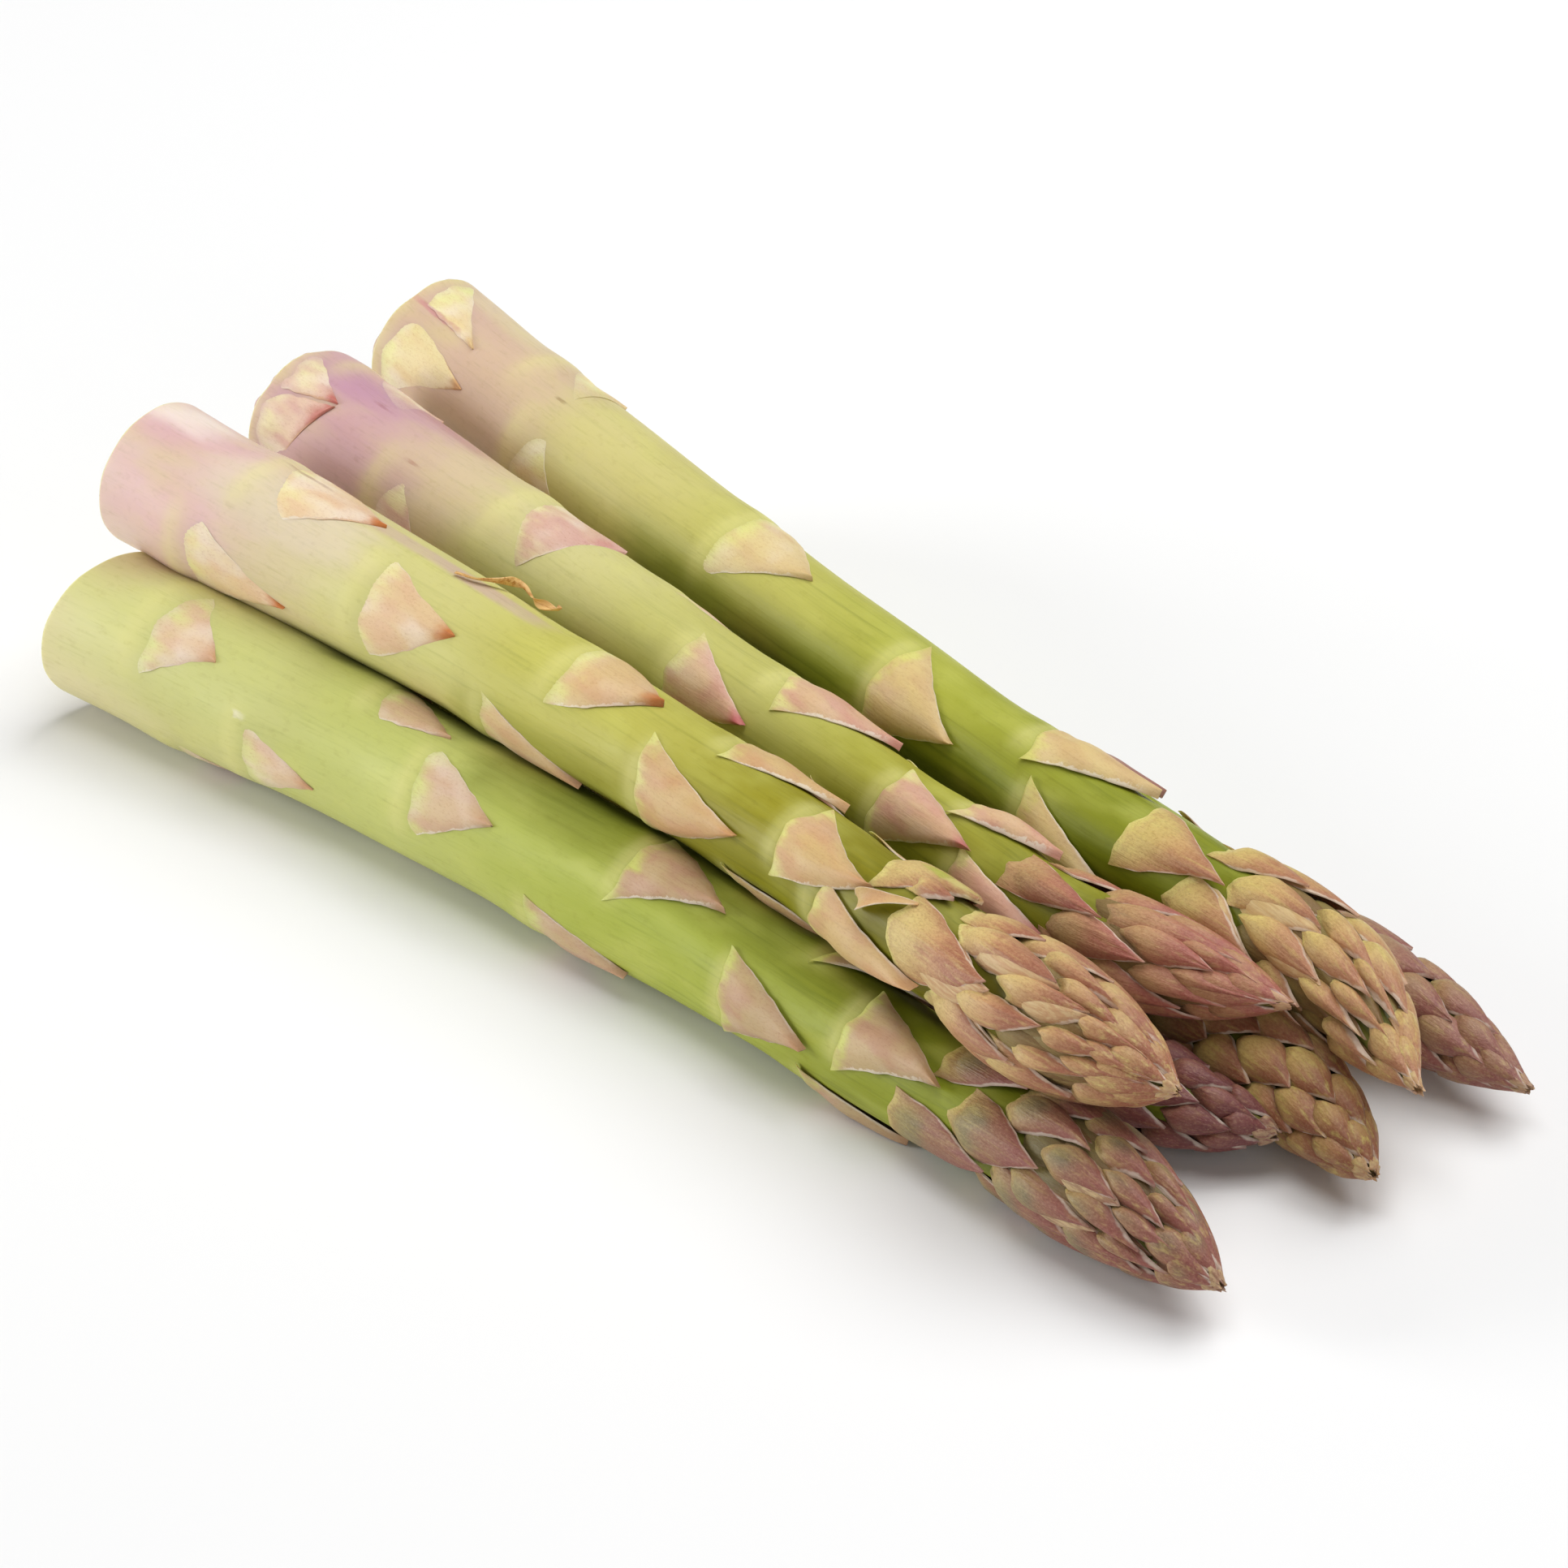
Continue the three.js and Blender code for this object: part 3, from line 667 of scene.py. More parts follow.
def ribbon_shell(spear, knots, dry, nominal):
    """A thin loose strip that rolls about its own length."""
    step = np.linspace(0, len(knots) - 1, 6 * len(knots))
    s, clock, lift, half, roll = (smooth_through(list(enumerate(values)), step) for values in zip(*knots))
    middle = spear.line.place(s, clock, spear.flesh(s, clock) + lift)
    along = np.gradient(middle, axis=0)
    along /= np.linalg.norm(along, axis=1, keepdims=True)
    out = middle - spear.line.place(s, clock, 0.0)
    out -= along * (out * along).sum(1, keepdims=True)
    out /= np.linalg.norm(out, axis=1, keepdims=True)
    across = np.cross(along, out)
    turn = np.radians(roll)[:, None]
    wide = np.cos(turn) * across + np.sin(turn) * out
    up = np.cos(turn) * out - np.sin(turn) * across
    u = np.linspace(-1, 1, RIBBON_POINTS)
    reach = half[:, None] * u
    curl = RIBBON_CURL * half[:, None] * (u**2 - 0.5)
    face = middle[:, None] + reach[..., None] * wide[:, None] + curl[..., None] * up[:, None]
    top, under = (face + shift * up[:, None] for shift in (RIBBON_THICKNESS / 2, -RIBBON_THICKNESS / 2))
    u, v = np.meshgrid(u, step / step[-1])
    length = np.concatenate([[0], np.cumsum(np.linalg.norm(np.diff(middle, axis=0), axis=1))])
    look = stacked(u, v, dry)
    edges = stacked(half[:, None] - np.abs(reach), 3.0, nominal * (1 - v))
    flat = straight(length[:, None] + s[0], clock[:, None], 8 + reach)
    return closed_sheet(top, under, look, edges, flat)


def tip_core(spear):
    """The green stem inside the tip, seen in the gaps between its scales, darkening along it as painted
    shade.
    """
    sides = 40
    clock = -np.arange(sides) * 360 / sides
    along = np.arange(spear.tip_start + 3, spear.length - 0.6, 1.2)
    s, clocks = np.meshgrid(along, clock, indexing="ij")
    radius = spear.flesh(s, clocks) + 0.06
    radius[[0, -1]] *= 0.3
    points = spear.line.place(s, clocks, radius).reshape(-1, 3)
    faces = grid_faces(len(along), sides, closed=True, flip=True)
    faces.append(tuple(range(sides)))
    faces.append(tuple(range(len(points) - 1, len(points) - 1 - sides, -1)))
    blank = np.zeros((len(points), 3))
    return [points, faces, blank, blank, straight(s, clocks, radius).reshape(-1, 3)]


def tip_object(spear, material, stalk_material):
    """All the scales of a tip and the green core between them, as one piece."""
    listed = [(None, *scale, SCALE_DRYNESS) for scale in spear.scales]
    shells = []
    for i, scale in enumerate(listed):
        shells.append(leaf_shell(spear, scale, SCALE_GRID, True, sunk=-spear.raised.get(i, 0.0)))
    shells += [leaf_shell(spear, scale, SPIRAL_GRID, True) for scale in spiral_scales(spear)]
    for i in spear.fringed:
        shells.append(leaf_shell(spear, papery_fringe(listed[i]), SPIRAL_GRID, True, sunk=FRINGE_DEPTH))
    if listed:
        shells += [leaf_shell(spear, scale, UNDER_GRID, True, UNDER_DEPTH) for scale in under_scales(spear)]
    shells += [leaf_shell(spear, scale, UNDER_GRID, True, flare=TUFT_FLARE) for scale in tuft_scales(spear)]
    scale_faces = sum(len(shell[1]) for shell in shells)
    shells.append(tip_core(spear))
    name = f"spear_{spear.name}_tip_scales"
    return shells_object(name, shells, material, second=stalk_material, second_from=scale_faces)


# ---- materials
class Signal:
    """A number that varies over a surface. It can be added, multiplied and mapped."""

    def __init__(self, shade, socket):
        self.shade = shade
        self.socket = socket

    def __add__(self, other):
        return self.shade.math("ADD", self, other)

    def __sub__(self, other):
        return self.shade.math("SUBTRACT", self, other)

    def __rsub__(self, other):
        return self.shade.math("SUBTRACT", other, self)

    def __mul__(self, other):
        return self.shade.math("MULTIPLY", self, other)

    def __truediv__(self, other):
        return self.shade.math("DIVIDE", self, other)

    def push(self, reach):
        """Noise as a push of up to reach either way."""
        return self.span(0.2, 0.8, -reach, reach, "LINEAR")

    def span(self, low, high, to_low=0.0, to_high=1.0, kind="SMOOTHSTEP"):
        """What lies from low to high, mapped to run from to_low to to_high."""
        inputs = {"Value": self, "From Min": low, "From Max": high, "To Min": to_low, "To Max": to_high}
        return self.shade.signal("MapRange", "Result", inputs, interpolation_type=kind)


class Shade:
    """The nodes of one material, and the colour laid down so far."""

    def __init__(self, name):
        self.material = bpy.data.materials.new(name)
        self.material.use_nodes = True
        self.tree = self.material.node_tree
        self.shader = self.tree.nodes["Principled BSDF"]
        # The coordinate of the unbent spear, its distance from the cut end and its clock in radians
        self.where = self.attribute("straight")
        self.s, up, far = self.split(self.where)
        self.clock = self.math("ARCTAN2", far, up)
        self.colour = None

    def feed(self, socket, value):
        """Give an input a signal, another node's output or a plain value."""
        value = getattr(value, "socket", value)
        if isinstance(value, bpy.types.NodeSocket):
            self.tree.links.new(value, socket)
        else:
            socket.default_value = value

    def node(self, kind, inputs, **settings):
        made = self.tree.nodes.new("ShaderNode" + kind)
        for key, value in settings.items():
            setattr(made, key, value)
        for key, value in inputs.items():
            self.feed(made.inputs[key], value)
        return made

    def signal(self, kind, output, inputs, **settings):
        """One output of a new node, as a signal."""
        return Signal(self, self.node(kind, inputs, **settings).outputs[output])

    def attribute(self, name):
        """A vector that the mesh carries at its points."""
        made = self.node("Attribute", {}, attribute_name=name, attribute_type="GEOMETRY")
        return made.outputs["Vector"]

    def split(self, vector):
        """The three numbers of a vector."""
        parts = self.node("SeparateXYZ", {"Vector": vector}).outputs
        return [Signal(self, part) for part in parts]

    def math(self, operation, a, b=0.0, clamp=False):
        return self.signal("Math", 0, {0: a, 1: b}, operation=operation, use_clamp=clamp)

    def stretched(self, along, across):
        """The coordinate of the unbent spear, scaled along it and across it."""
        inputs = {0: self.where, 1: (along, across, across)}
        return self.node("VectorMath", inputs, operation="MULTIPLY").outputs[0]

    def noise(self, vector, scale, detail, rough):
        inputs = {"Vector": vector, "Scale": scale, "Detail": detail, "Roughness": rough}
        return self.signal("TexNoise", "Fac", inputs)

    def grain(self, along, across, detail, rough=0.5):
        """Noise that is drawn out along the spear."""
        return self.noise(self.stretched(along, across), 1.0, detail, rough)

    def ramp(self, factor, stops):
        made = self.node("ValToRGB", {"Fac": factor})
        band = made.color_ramp
        band.interpolation = "EASE"
        while len(band.elements) > 1:
            band.elements.remove(band.elements[-1])
        band.elements[0].position, band.elements[0].color = stops[0]
        for at, colour in stops[1:]:
            band.elements.new(at).color = colour
        return made.outputs["Color"]

    def mix(self, factor, a, b, blend="MIX"):
        inputs = {0: factor, 6: a, 7: b}
        made = self.node("Mix", inputs, data_type="RGBA", blend_type=blend, clamp_factor=True)
        return made.outputs[2]

    def coat(self, factor, tint, blend="MIX"):
        """Lay a tint over the colour so far."""
        self.colour = self.mix(factor, self.colour, tint, blend)

    def bump(self, height, strength, distance):
        """Fine relief; the distance is in metres."""
        made = self.node("Bump", {"Height": height, "Strength": strength, "Distance": distance})
        self.tree.links.new(made.outputs["Normal"], self.shader.inputs["Normal"])

    def finish(self, roughness, subsurface, radius, specular, sheen):
        """Set what the shader takes besides the bump; the radius is in mm."""
        inputs = self.shader.inputs
        self.feed(inputs["Base Color"], self.colour)
        self.feed(inputs["Roughness"], roughness)
        inputs["Specular IOR Level"].default_value = specular
        inputs["Sheen Weight"].default_value = sheen
        inputs["Subsurface Weight"].default_value = subsurface
        inputs["Subsurface Radius"].default_value = radius
        inputs["Subsurface Scale"].default_value = MM
        return self.material


RAMP_LENGTH = 200.0  # distance from the cut end where a stem's colour ramp ends
YELLOW_GREEN = srgb(218, 218, 122)
WHITE_EDGE = srgb(236, 226, 208)
STREAK_DARK = srgb(120, 138, 30)
PAPER = srgb(222, 200, 150)

# Stem colours from the cut end up: (distance in mm, colour)
# The last stop of each lies inside the tip, on the core seen in the gaps between its scales; its dark olive
# is painted shade.
STEM_STOPS = {
    "a": [(0, (220, 210, 160)), (20, (201, 198, 130)), (45, (193, 197, 114)), (90, (171, 180, 72)),
          (140, (140, 148, 38)), (162, (92, 90, 30))],
    "b": [(0, (224, 198, 184)), (12, (220, 190, 176)), (26, (214, 198, 154)), (45, (205, 199, 131)),
          (75, (191, 186, 92)), (110, (148, 141, 34)), (140, (112, 106, 12)), (160, (88, 80, 24))],
    "c": [(0, (206, 170, 168)), (14, (203, 168, 162)), (30, (211, 190, 155)), (50, (207, 200, 139)),
          (80, (192, 188, 108)), (110, (166, 162, 60)), (140, (138, 137, 36)), (158, (96, 84, 36))],
    "d": [(0, (206, 176, 156)), (22, (208, 186, 150)), (38, (207, 197, 133)), (70, (191, 187, 100)),
          (100, (168, 171, 64)), (146, (131, 138, 31)), (168, (96, 94, 30))],
}
for lower_spear in "efg":
    STEM_STOPS[lower_spear] = [(0, (210, 206, 150)), (40, (190, 192, 104)), (90, (160, 168, 66)),
                               (130, (136, 146, 46)), (150, (92, 84, 36))]

# Flushes of another colour on the skin, and painted shade: (from and to distance, clock, half its arc,
# colour, strength)
# The last two of each spear are painted shade: deep green and dark olive along the crevices where it lies
# against its neighbours.
FLUSHES_AND_CREVICE_SHADE = {
    "a": [(0, 7, -15, 45, (196, 164, 128), 0.6), (0, 30, 40, 50, (204, 210, 130), 0.4),
          (60, 150, 0, 40, (100, 106, 10), 0.5), (30, 150, -27, 16, (58, 66, 0), 0.6)],
    "b": [(1, 15, 12, 24, (210, 160, 174), 0.5), (0, 18, 70, 26, (226, 180, 184), 0.4),
          (0, 9, -8, 18, (244, 232, 220), 0.7), (33, 64, -13, 9, (196, 158, 166), 0.6),
          (14, 40, 25, 25, (224, 208, 190), 0.5),
          (60, 135, 115, 35, (120, 120, 8), 0.45), (30, 150, 133, 14, (92, 92, 0), 0.5)],
    "c": [(0, 24, 10, 55, (200, 150, 168), 0.3), (4, 15, 0, 20, (182, 128, 164), 0.45),
          (12, 30, -45, 20, (160, 96, 110), 0.35), (50, 135, 110, 36, (120, 126, 8), 0.45),
          (60, 140, 128, 16, (80, 84, 0), 0.5)],
    "d": [(2, 26, 25, 50, (210, 172, 162), 0.35), (0, 20, -35, 22, (226, 214, 170), 0.5),
          (52, 150, 98, 44, (104, 118, 0), 0.6), (70, 150, 116, 24, (64, 76, 0), 0.6)],
}

# Small marks on the skin and the leaves, given the same way
SPOTS = {
    "a": [(27.2, 28.6, 68, 3, (246, 238, 222), 0.5)],
    "b": [(21, 26.5, -20, 2, (168, 128, 104), 0.6), (130.5, 134, -26, 7, (176, 184, 70), 0.8),
          (134, 138.5, -27, 8, (214, 204, 124), 0.7)],
    "c": [(13.6, 16.4, 0, 1.6, (160, 104, 112), 0.5), (24.6, 26.8, 30, 1.6, (168, 116, 100), 0.5)],
    "d": [(29.6, 30.9, 11, 1.6, (146, 118, 76), 0.6), (1, 9, 20, 2.5, (200, 132, 136), 0.6)],
}

# Leaf palettes, low on the stem and high on it: foot, body, towards the apex, the apex itself
OLD_LEAF_TONES = {
    "a": ((222, 220, 148), (226, 196, 158), (222, 184, 156), (196, 130, 84)),
    "b": ((238, 228, 164), (232, 204, 160), (228, 190, 154), (198, 116, 56)),
    "c": ((232, 222, 168), (230, 202, 176), (214, 168, 158), (186, 96, 88)),
    "d": ((232, 228, 158), (232, 214, 162), (228, 202, 152), (192, 138, 86)),
    "e": ((206, 198, 140), (190, 158, 132), (178, 132, 122), (150, 96, 88)),
    "f": ((214, 208, 138), (206, 178, 138), (194, 156, 124), (158, 112, 76)),
    "g": ((212, 204, 140), (202, 172, 146), (190, 144, 130), (158, 98, 88)),
}
LEAF_TONES = {
    "a": ((200, 202, 108), (192, 166, 122), (186, 144, 116), (176, 124, 84)),
    "b": ((216, 212, 124), (208, 176, 120), (202, 156, 114), (186, 116, 62)),
    "c": ((222, 214, 136), (214, 178, 138), (204, 150, 130), (186, 92, 98)),
    "d": ((216, 210, 118), (216, 190, 130), (206, 172, 122), (192, 142, 92)),
    "e": ((160, 140, 92), (136, 96, 92), (120, 78, 82), (110, 70, 74)),
    "f": ((172, 166, 84), (160, 130, 96), (146, 108, 88), (136, 96, 72)),
    "g": ((176, 166, 92), (164, 122, 104), (150, 102, 94), (140, 88, 84)),
}

# Tip palettes: foot, body, bloom in the middle, edges and apex
TIP_TONES = {
    "a": ((198, 180, 106), (148, 110, 82), (106, 102, 78), (140, 84, 74)),
    "b": ((220, 208, 128), (196, 150, 106), (206, 174, 116), (162, 104, 78)),
    "c": ((194, 164, 108), (190, 140, 104), (184, 144, 100), (166, 98, 84)),
    "d": ((218, 208, 120), (202, 164, 108), (200, 170, 104), (174, 120, 88)),
    "e": ((146, 108, 76), (132, 78, 74), (138, 92, 82), (112, 60, 60)),
    "f": ((214, 206, 112), (190, 142, 102), (194, 162, 98), (144, 92, 66)),
    "g": ((188, 166, 106), (164, 120, 94), (156, 124, 94), (142, 90, 82)),
}


def flush_or_shade(shade, drift, mark):
    """Lay one soft-edged patch of colour over the skin; some are flushes and marks of its own colour, some
    painted shade in crevices.
    """
    start, end, middle, half, rgb, strength = mark
    soft = min(4.0, 0.4 * (end - start))
    waver = min(0.15, 0.4 * math.radians(half))
    reach = shade.s + drift.push(soft)
    entry = reach.span(start - soft, start + 0.75 * soft)
    inside = entry * reach.span(end - 1.25 * soft, end + 1.25 * soft, 1, 0)
    away = shade.math("ABSOLUTE", shade.clock - math.radians(middle)) + drift.push(waver)
    around = away.span(math.radians(half * 0.5), math.radians(half * 1.4), strength, 0)
    shade.coat(inside * around, srgb(*rgb))


def paint_skin(shade, spear):
    """Lay down the colour of the skin with its flushes and painted crevice shade, and return the dark
    streaks in it.
    """
    stops = [(at / RAMP_LENGTH, srgb(*rgb)) for at, rgb in STEM_STOPS[spear.name]]
    drift = shade.grain(0.05, 0.16, 3.0)
    shade.colour = shade.ramp(shade.s / RAMP_LENGTH + drift.push(0.035), stops)
    # flushes of the skin's own colour, and painted shade along the crevices between spears
    for mark in FLUSHES_AND_CREVICE_SHADE.get(spear.name, ()):
        flush_or_shade(shade, drift, mark)
    patches = shade.grain(0.09, 0.22, 2.0)
    shade.coat(patches.span(0.45, 0.8, 0, 0.25), YELLOW_GREEN)
    streaks = shade.grain(0.018, 1.1, 4.0, 0.6)
    strength = streaks.span(0.5, 0.8) * shade.s.span(15, 110, 0.04, 0.38, "LINEAR")
    shade.coat(strength, STREAK_DARK, "MULTIPLY")
    return streaks


def add_spots(shade, spear):
    """Lay the spear's small marks over the colour."""
    drift = shade.grain(0.6, 0.9, 3.0)
    for mark in SPOTS.get(spear.name, ()):
        flush_or_shade(shade, drift, mark)


def stem_material(spear):
    """The skin and the cut end."""
    shade = Shade(f"stalk_{spear.name}")
    streaks = paint_skin(shade, spear)
    glow, cut, _ = shade.split(shade.attribute("marks"))
    # A pale line runs along the foot of each leaf.
    shade.coat(glow * 0.4, srgb(228, 222, 148))
    add_spots(shade, spear)
    # The cut end is dotted with the stem's bundles and has dried in patches.
    inputs = {"Vector": shade.stretched(0.0, 1.0), "Scale": 1.5}
    bundles = shade.signal("TexVoronoi", "Distance", inputs, feature="F1")
    flesh = shade.mix(bundles.span(0.12, 0.3, 0.75, 0.0), srgb(226, 222, 170), srgb(186, 184, 112))
    dried = shade.grain(0.0, 0.5, 3.0, 0.6)
    flesh = shade.mix(dried.span(0.45, 0.75, 0, 0.5), flesh, srgb(214, 196, 140))
    shade.coat(cut, flesh)
    fine = shade.grain(0.25, 3.2, 3.0, 0.6)
    shade.coat(fine.span(0.5, 0.8, 0, 0.16), srgb(176, 184, 110), "MULTIPLY")
    mottle = shade.grain(0.7, 1.1, 4.0, 0.6)
    shade.coat(mottle.span(0.52, 0.75, 0, 0.14), srgb(190, 176, 120), "MULTIPLY")
    shade.bump(fine * 0.4 + streaks, 0.12, 0.0004)
    roughness = fine.span(0.3, 0.7, 0.42, 0.54, "LINEAR")
    return shade.finish(roughness, 0.22, (1.6, 1.5, 0.4), 0.22, 0.0)


def leaf_material(spear):
    """The thin leaves of the stem, from papery old ones at its foot to fresh ones."""
    shade = Shade(f"leaf_{spear.name}")
    paint_skin(shade, spear)
    skin = shade.colour
    u, v, dry = shade.split(shade.attribute("leaf"))
    edge, above, left = shade.split(shade.attribute("reach"))
    # Age runs from 0 low on the stem to 1 high on it, where leaves are fresh.
    age = shade.s.span(30, 95, kind="LINEAR")
    tones = zip(OLD_LEAF_TONES[spear.name], LEAF_TONES[spear.name])
    foot, body, upper, apex = (shade.mix(age, srgb(*old), srgb(*young)) for old, young in tones)
    wander = shade.grain(0.4, 0.6, 3.0)
    sway = wander.push(1.0)
    # Low on the stem the foot fades softly into the body; high on it the change is quick.
    band = (above + sway) / age.span(0, 1, 4.2, 1.3, "LINEAR")
    shade.colour = shade.mix(band.span(0.3, 1.7), foot, body)
    blush = shade.grain(0.14, 0.35, 2.0)
    shade.coat(blush.span(0.4, 0.65) * 0.8, upper)
    shade.coat(v.span(0.35, 0.95) * 0.5, upper)
    bleached = shade.grain(0.2, 0.3, 1.0)
    pale = bleached.span(0.4, 0.75) * age.span(0, 1, 0.6, 0.1)
    shade.coat(pale, srgb(242, 226, 208))
    # The apex has dried, more on some leaves than on others.
    point = left + sway * 0.8
    shade.coat(point.span(0.6, 3.6, 1, 0) * dry, apex)
    # An old leaf's foot melts into the skin; a fresh one's starts with its own pale line.
    low = (above + sway * 0.3) / age.span(0, 1, 2.8, 0.6, "LINEAR")
    root = shade.mix(age.span(0, 1, 0.05, 0.7), skin, foot)
    shade.coat(low.span(-0.2, 1.2, 1, 0), root)
    veins = shade.grain(0.12, 2.2, 3.0, 0.65)
    lines = veins.span(0.5, 0.8) * age.span(0, 1, 0.08, 0.18)
    shade.coat(lines, srgb(176, 124, 96), "MULTIPLY")
    grain = shade.grain(2.0, 4.5, 3.0, 0.7)
    shade.coat(grain.span(0.48, 0.75, 0, 0.3), srgb(204, 166, 140), "MULTIPLY")
    # A thin uneven rim, wider on the lower side, is pale and browns towards the apex.
    torn = shade.grain(1.2, 1.2, 3.0, 0.7)
    width = torn.span(0.35, 0.7, 0.0, 0.36, "LINEAR") * u.span(-0.5, 0.5, 0.15, 1.0)
    rim = 1.0 - (edge - width).span(-0.05, 0.1)
    rim = rim * above.span(0.8, 2.5) * v.span(0.75, 0.95, 1, 0)
    browned = left.span(3.0, 11.0, 0.9, 0.0) * (dry * age.span(0, 1, 1, 0.2))
    edging = shade.mix(browned, WHITE_EDGE, srgb(204, 142, 88))
    shade.coat(rim * 0.6, edging)
    # A dryness above 1 is straw all over.
    straw = shade.mix(veins.span(0.4, 0.65), srgb(226, 182, 118), srgb(184, 124, 60))
    shade.coat(dry.span(1.2, 1.8), straw)
    add_spots(shade, spear)
    shade.bump(veins + wander * 0.5, 0.25, 0.0003)
    return shade.finish(0.5, 0.15, (1.2, 0.8, 0.3), 0.3, 0.03)


def tip_material(spear):
    """The scales of the tip, with a bloom in the middle of each."""
    shade = Shade(f"tip_{spear.name}")
    u, v, dry = shade.split(shade.attribute("leaf"))
    edge, above, _ = shade.split(shade.attribute("reach"))
    foot, body, bloom, end = (srgb(*rgb) for rgb in TIP_TONES[spear.name])
    wander = shade.grain(0.4, 0.6, 3.0, 0.6)
    height = above + wander.push(0.9)
    near_end = shade.s.span(spear.length - 22, spear.length - 5)
    patch = shade.grain(0.25, 0.35, 2.0)
    shade.colour = shade.mix(patch.span(0.35, 0.65, 0, 0.6), body, end)
    # A bloom in the middle of each scale, its foot, and its darker point and sides
    middle = edge.span(0.5, 2.2) * height.span(1.0, 3.0) * height.span(4.5, 8.0, 1, 0)
    shade.coat(middle * 0.8, bloom)
    low = shade.math("MAXIMUM", height.span(0.0, 2.6, 1.0, 0), v.span(0.0, 0.5, 0.5, 0))
    shade.coat(low * near_end.span(0, 1, 1.0, 0.5), foot)
    far = v.span(0.35, 0.85, 0, 0.8) + edge.span(0.1, 1.3, 0.35, 0)
    shade.coat(shade.math("ADD", far, near_end * 0.35, clamp=True), end)
    veins = shade.grain(0.16, 2.4, 3.0, 0.65)
    shade.coat(veins.span(0.48, 0.8, 0, 0.18), srgb(160, 118, 96), "MULTIPLY")
    pale = shade.grain(0.12, 1.8, 2.0, 0.6)
    streak = pale.span(0.46, 0.8) * near_end.span(0, 1, 0.35, 0.55)
    shade.coat(streak, foot)
    grain = shade.grain(2.2, 4.5, 3.0, 0.7)
    shade.coat(grain.span(0.45, 0.7, 0, 0.4), srgb(190, 160, 140), "MULTIPLY")
    shade.coat(grain.span(0.5, 0.3, 0, 0.14), PAPER)
    specks = shade.noise(shade.where, 2.2, 3.0, 0.7)
    shade.coat(specks.span(0.66, 0.76, 0, 0.3), PAPER)
    # A dryness near 2 is papery; one below 0 marks the scales deeper in the tip, which are painted dark
    # olive as shade.
    paper = shade.mix(veins.span(0.4, 0.6, 0.2, 0.8), PAPER, body)
    shade.coat(dry.span(1.1, 1.9, 0, 0.7), paper)
    shade.coat(dry.span(-0.5, 0.0, 0.7, 0), srgb(98, 86, 36))
    # Each scale has a darker seam along its sides and a thin pale rim outside that.
    seam = edge.span(0.1, 0.45, 0.45, 0) * above.span(1.0, 3.0)
    shade.coat(seam, end)
    width = wander.span(0.35, 0.65, -0.05, 0.12, "LINEAR") * u.span(-0.5, 0.5, 0.7, 1.0)
    rim = 1.0 - (edge - width).span(-0.02, 0.12)
    rim = rim * above.span(1.0, 3.0) * v.span(0.8, 1.0, 1, 0.3)
    shade.coat(rim * 0.52, WHITE_EDGE)
    add_spots(shade, spear)
    shade.bump(veins * 1.6 + grain * 0.5, 0.36, 0.0003)
    roughness = specks.span(0.3, 0.7, 0.42, 0.56, "LINEAR")
    return shade.finish(roughness, 0.06, (1.0, 0.6, 0.3), 0.35, 0.03)


for name, data in SPEARS.items():
    spear = Spear(name, data)
    stalk_finish = stem_material(spear)
    stalk = stem_object(spear, stalk_finish)
    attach(stalk, "root")
    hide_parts(f"spear_{name}_stem")
    leaf_finish = leaf_material(spear)
    for i, leaf in enumerate(spear.leaves, 1):
        shell = leaf_shell(spear, leaf, LEAF_GRID, False)
        thing = shells_object(f"spear_{name}_scale_leaf_{i}", [shell], leaf_finish)
        node = leaf[0]
        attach(thing, "root")
        if node:
            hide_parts(f"spear_{name}_leaf_{node}")
    for i, ribbon in enumerate(spear.ribbons, 1):
        strip = shells_object(f"spear_{name}_strip_{i}", [ribbon_shell(spear, *ribbon)], leaf_finish)
        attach(strip, "root")
    tip = tip_object(spear, tip_material(spear), stalk_finish)
    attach(tip, "root")
    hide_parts(f"spear_{name}_tip")


# ---- stage, light and camera
FLOOR_HALF = 6.0
FLOOR_HEIGHT = -0.0002
FLOOR_GREY = 0.86
WORLD_STRENGTH = 0.11
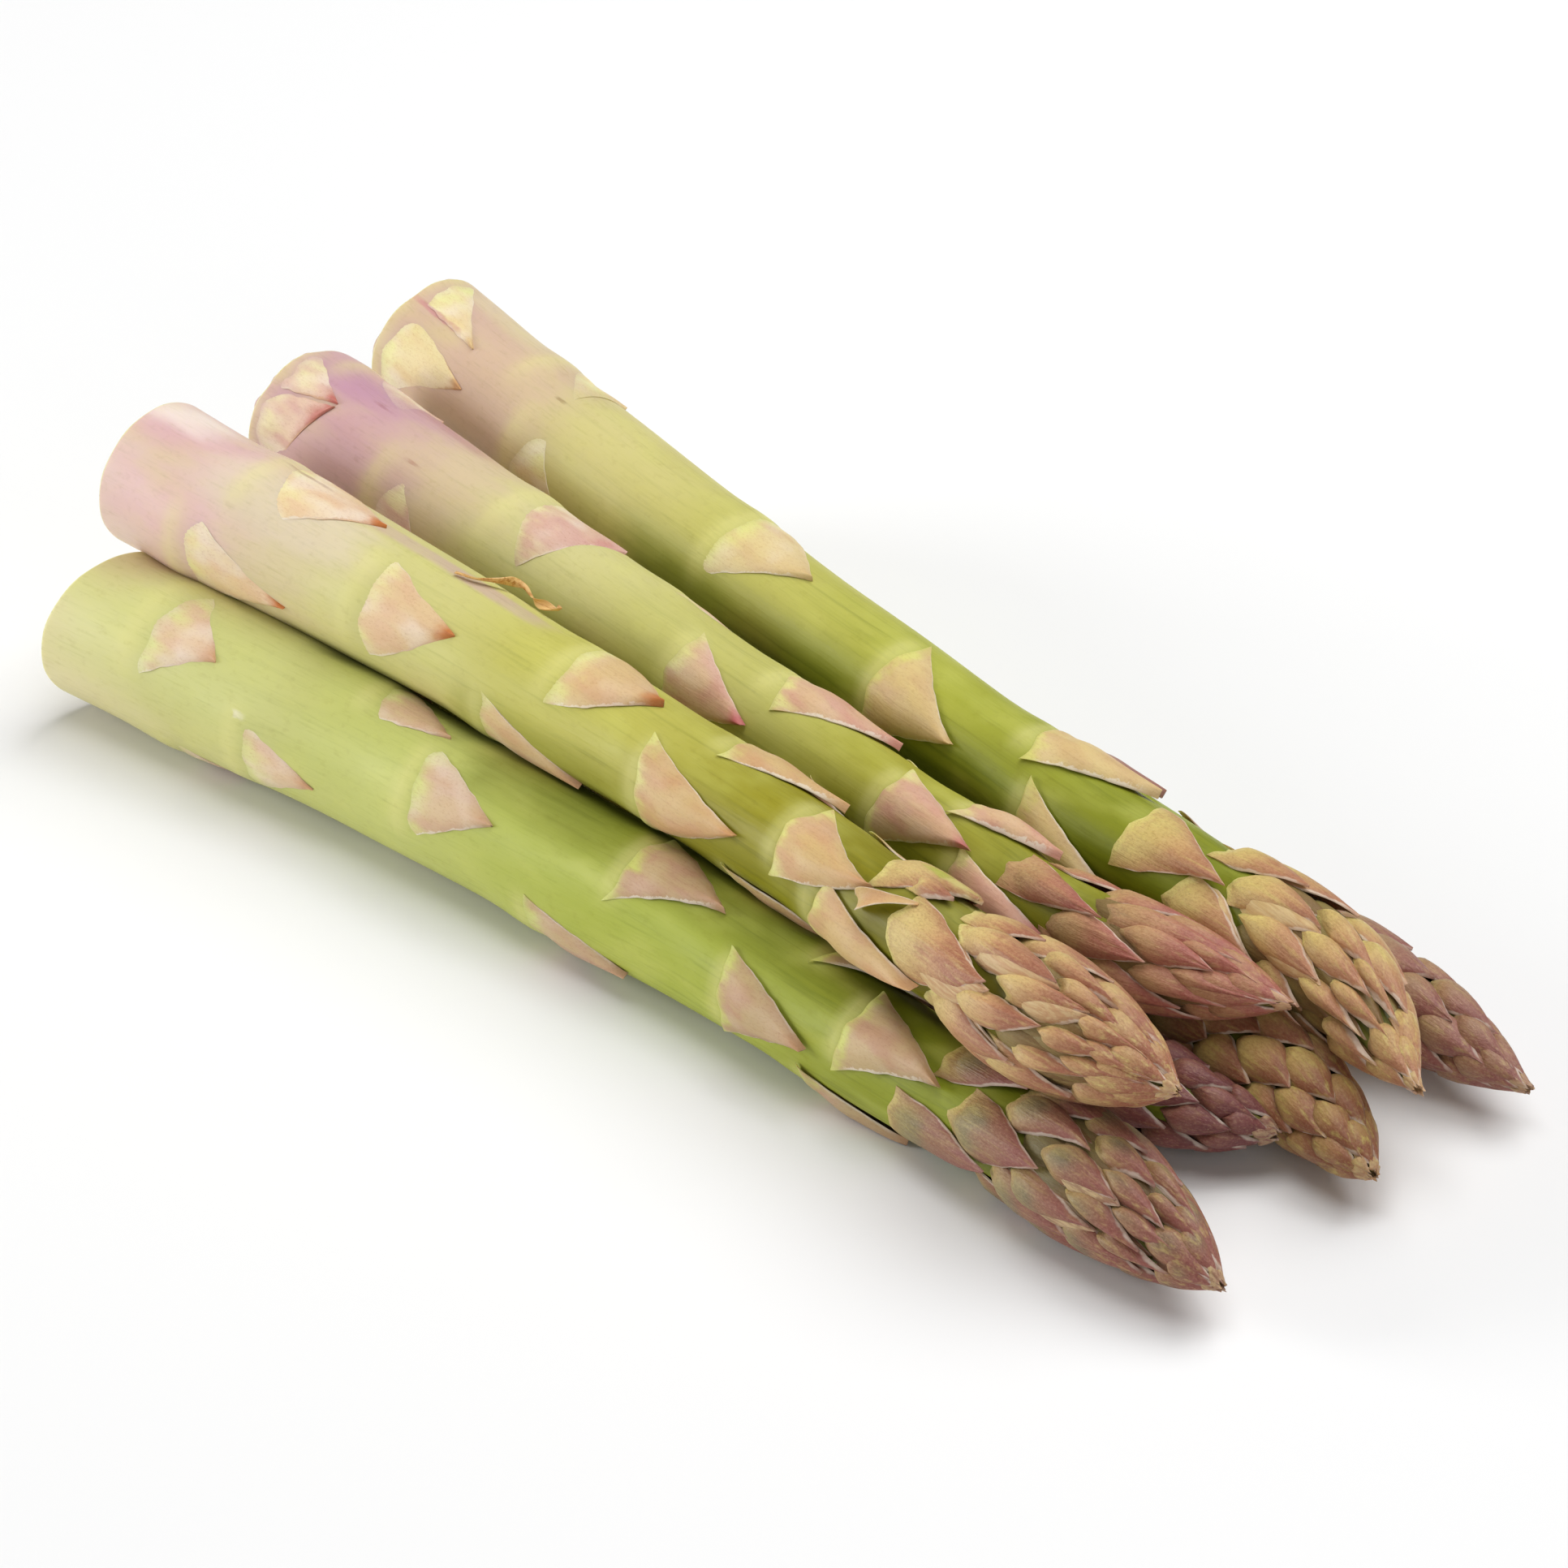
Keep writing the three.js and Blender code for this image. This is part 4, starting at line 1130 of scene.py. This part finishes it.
# Soft round lamps that point at the origin: name, place and size in metres, power in watts
LAMPS = [
    ("overhead", (0.0, 0.62, 1.0), 0.9, 9.2),
    ("top", (0.1, -0.1, 1.2), 0.9, 6.3),
    ("side", (-0.88, -0.76, 0.24), 0.7, 9.3),
    ("fill", (1.0, -0.45, 0.4), 0.9, 2.9),
]

sheet = bpy.data.meshes.new("floor")
corners = [(x * FLOOR_HALF, y * FLOOR_HALF, FLOOR_HEIGHT) for x, y in ((-1, -1), (1, -1), (1, 1), (-1, 1))]
sheet.from_pydata(corners, [], [(0, 1, 2, 3)])
floor = placed("floor", sheet)
paper = bpy.data.materials.new("floor_paper")
paper.use_nodes = True
paper_shader = paper.node_tree.nodes["Principled BSDF"]
paper_shader.inputs["Base Color"].default_value = (FLOOR_GREY, FLOOR_GREY, FLOOR_GREY, 1)
paper_shader.inputs["Roughness"].default_value = 0.9
floor.data.materials.append(paper)

for name, place, size, power in LAMPS:
    lamp = bpy.data.lights.new(name, "AREA")
    lamp.shape = "DISK"
    lamp.size = size
    lamp.energy = power
    holder = placed(name, lamp)
    holder.location = place
    holder.rotation_mode = "QUATERNION"
    holder.rotation_quaternion = (-Vector(place)).to_track_quat("-Z", "Y")

world = bpy.data.worlds.new("studio")
world.use_nodes = True
world.node_tree.nodes["Background"].inputs["Color"].default_value = (1, 1, 1, 1)
world.node_tree.nodes["Background"].inputs["Strength"].default_value = WORLD_STRENGTH
bpy.context.scene.world = world
bpy.context.scene.view_settings.view_transform = "Standard"

azimuth, elevation = math.radians(CAMERA_AZIMUTH), math.radians(CAMERA_ELEVATION)
flat_back = np.array([math.sin(azimuth), -math.cos(azimuth), 0]) * math.cos(elevation)
back = flat_back + np.array([0, 0, math.sin(elevation)])
camera = bpy.data.cameras.new("camera")
camera.sensor_width = SENSOR_WIDTH
camera.lens = SENSOR_WIDTH * PIXELS_PER_MM * CAMERA_DISTANCE / IMAGE_SIDE
camera.clip_end = 20
camera_object = placed("camera", camera)
camera_object.location = (np.array(LOOK_AT) + CAMERA_DISTANCE * back) * MM
camera_object.rotation_euler = (math.pi / 2 - elevation, 0, azimuth)
bpy.context.scene.camera = camera_object
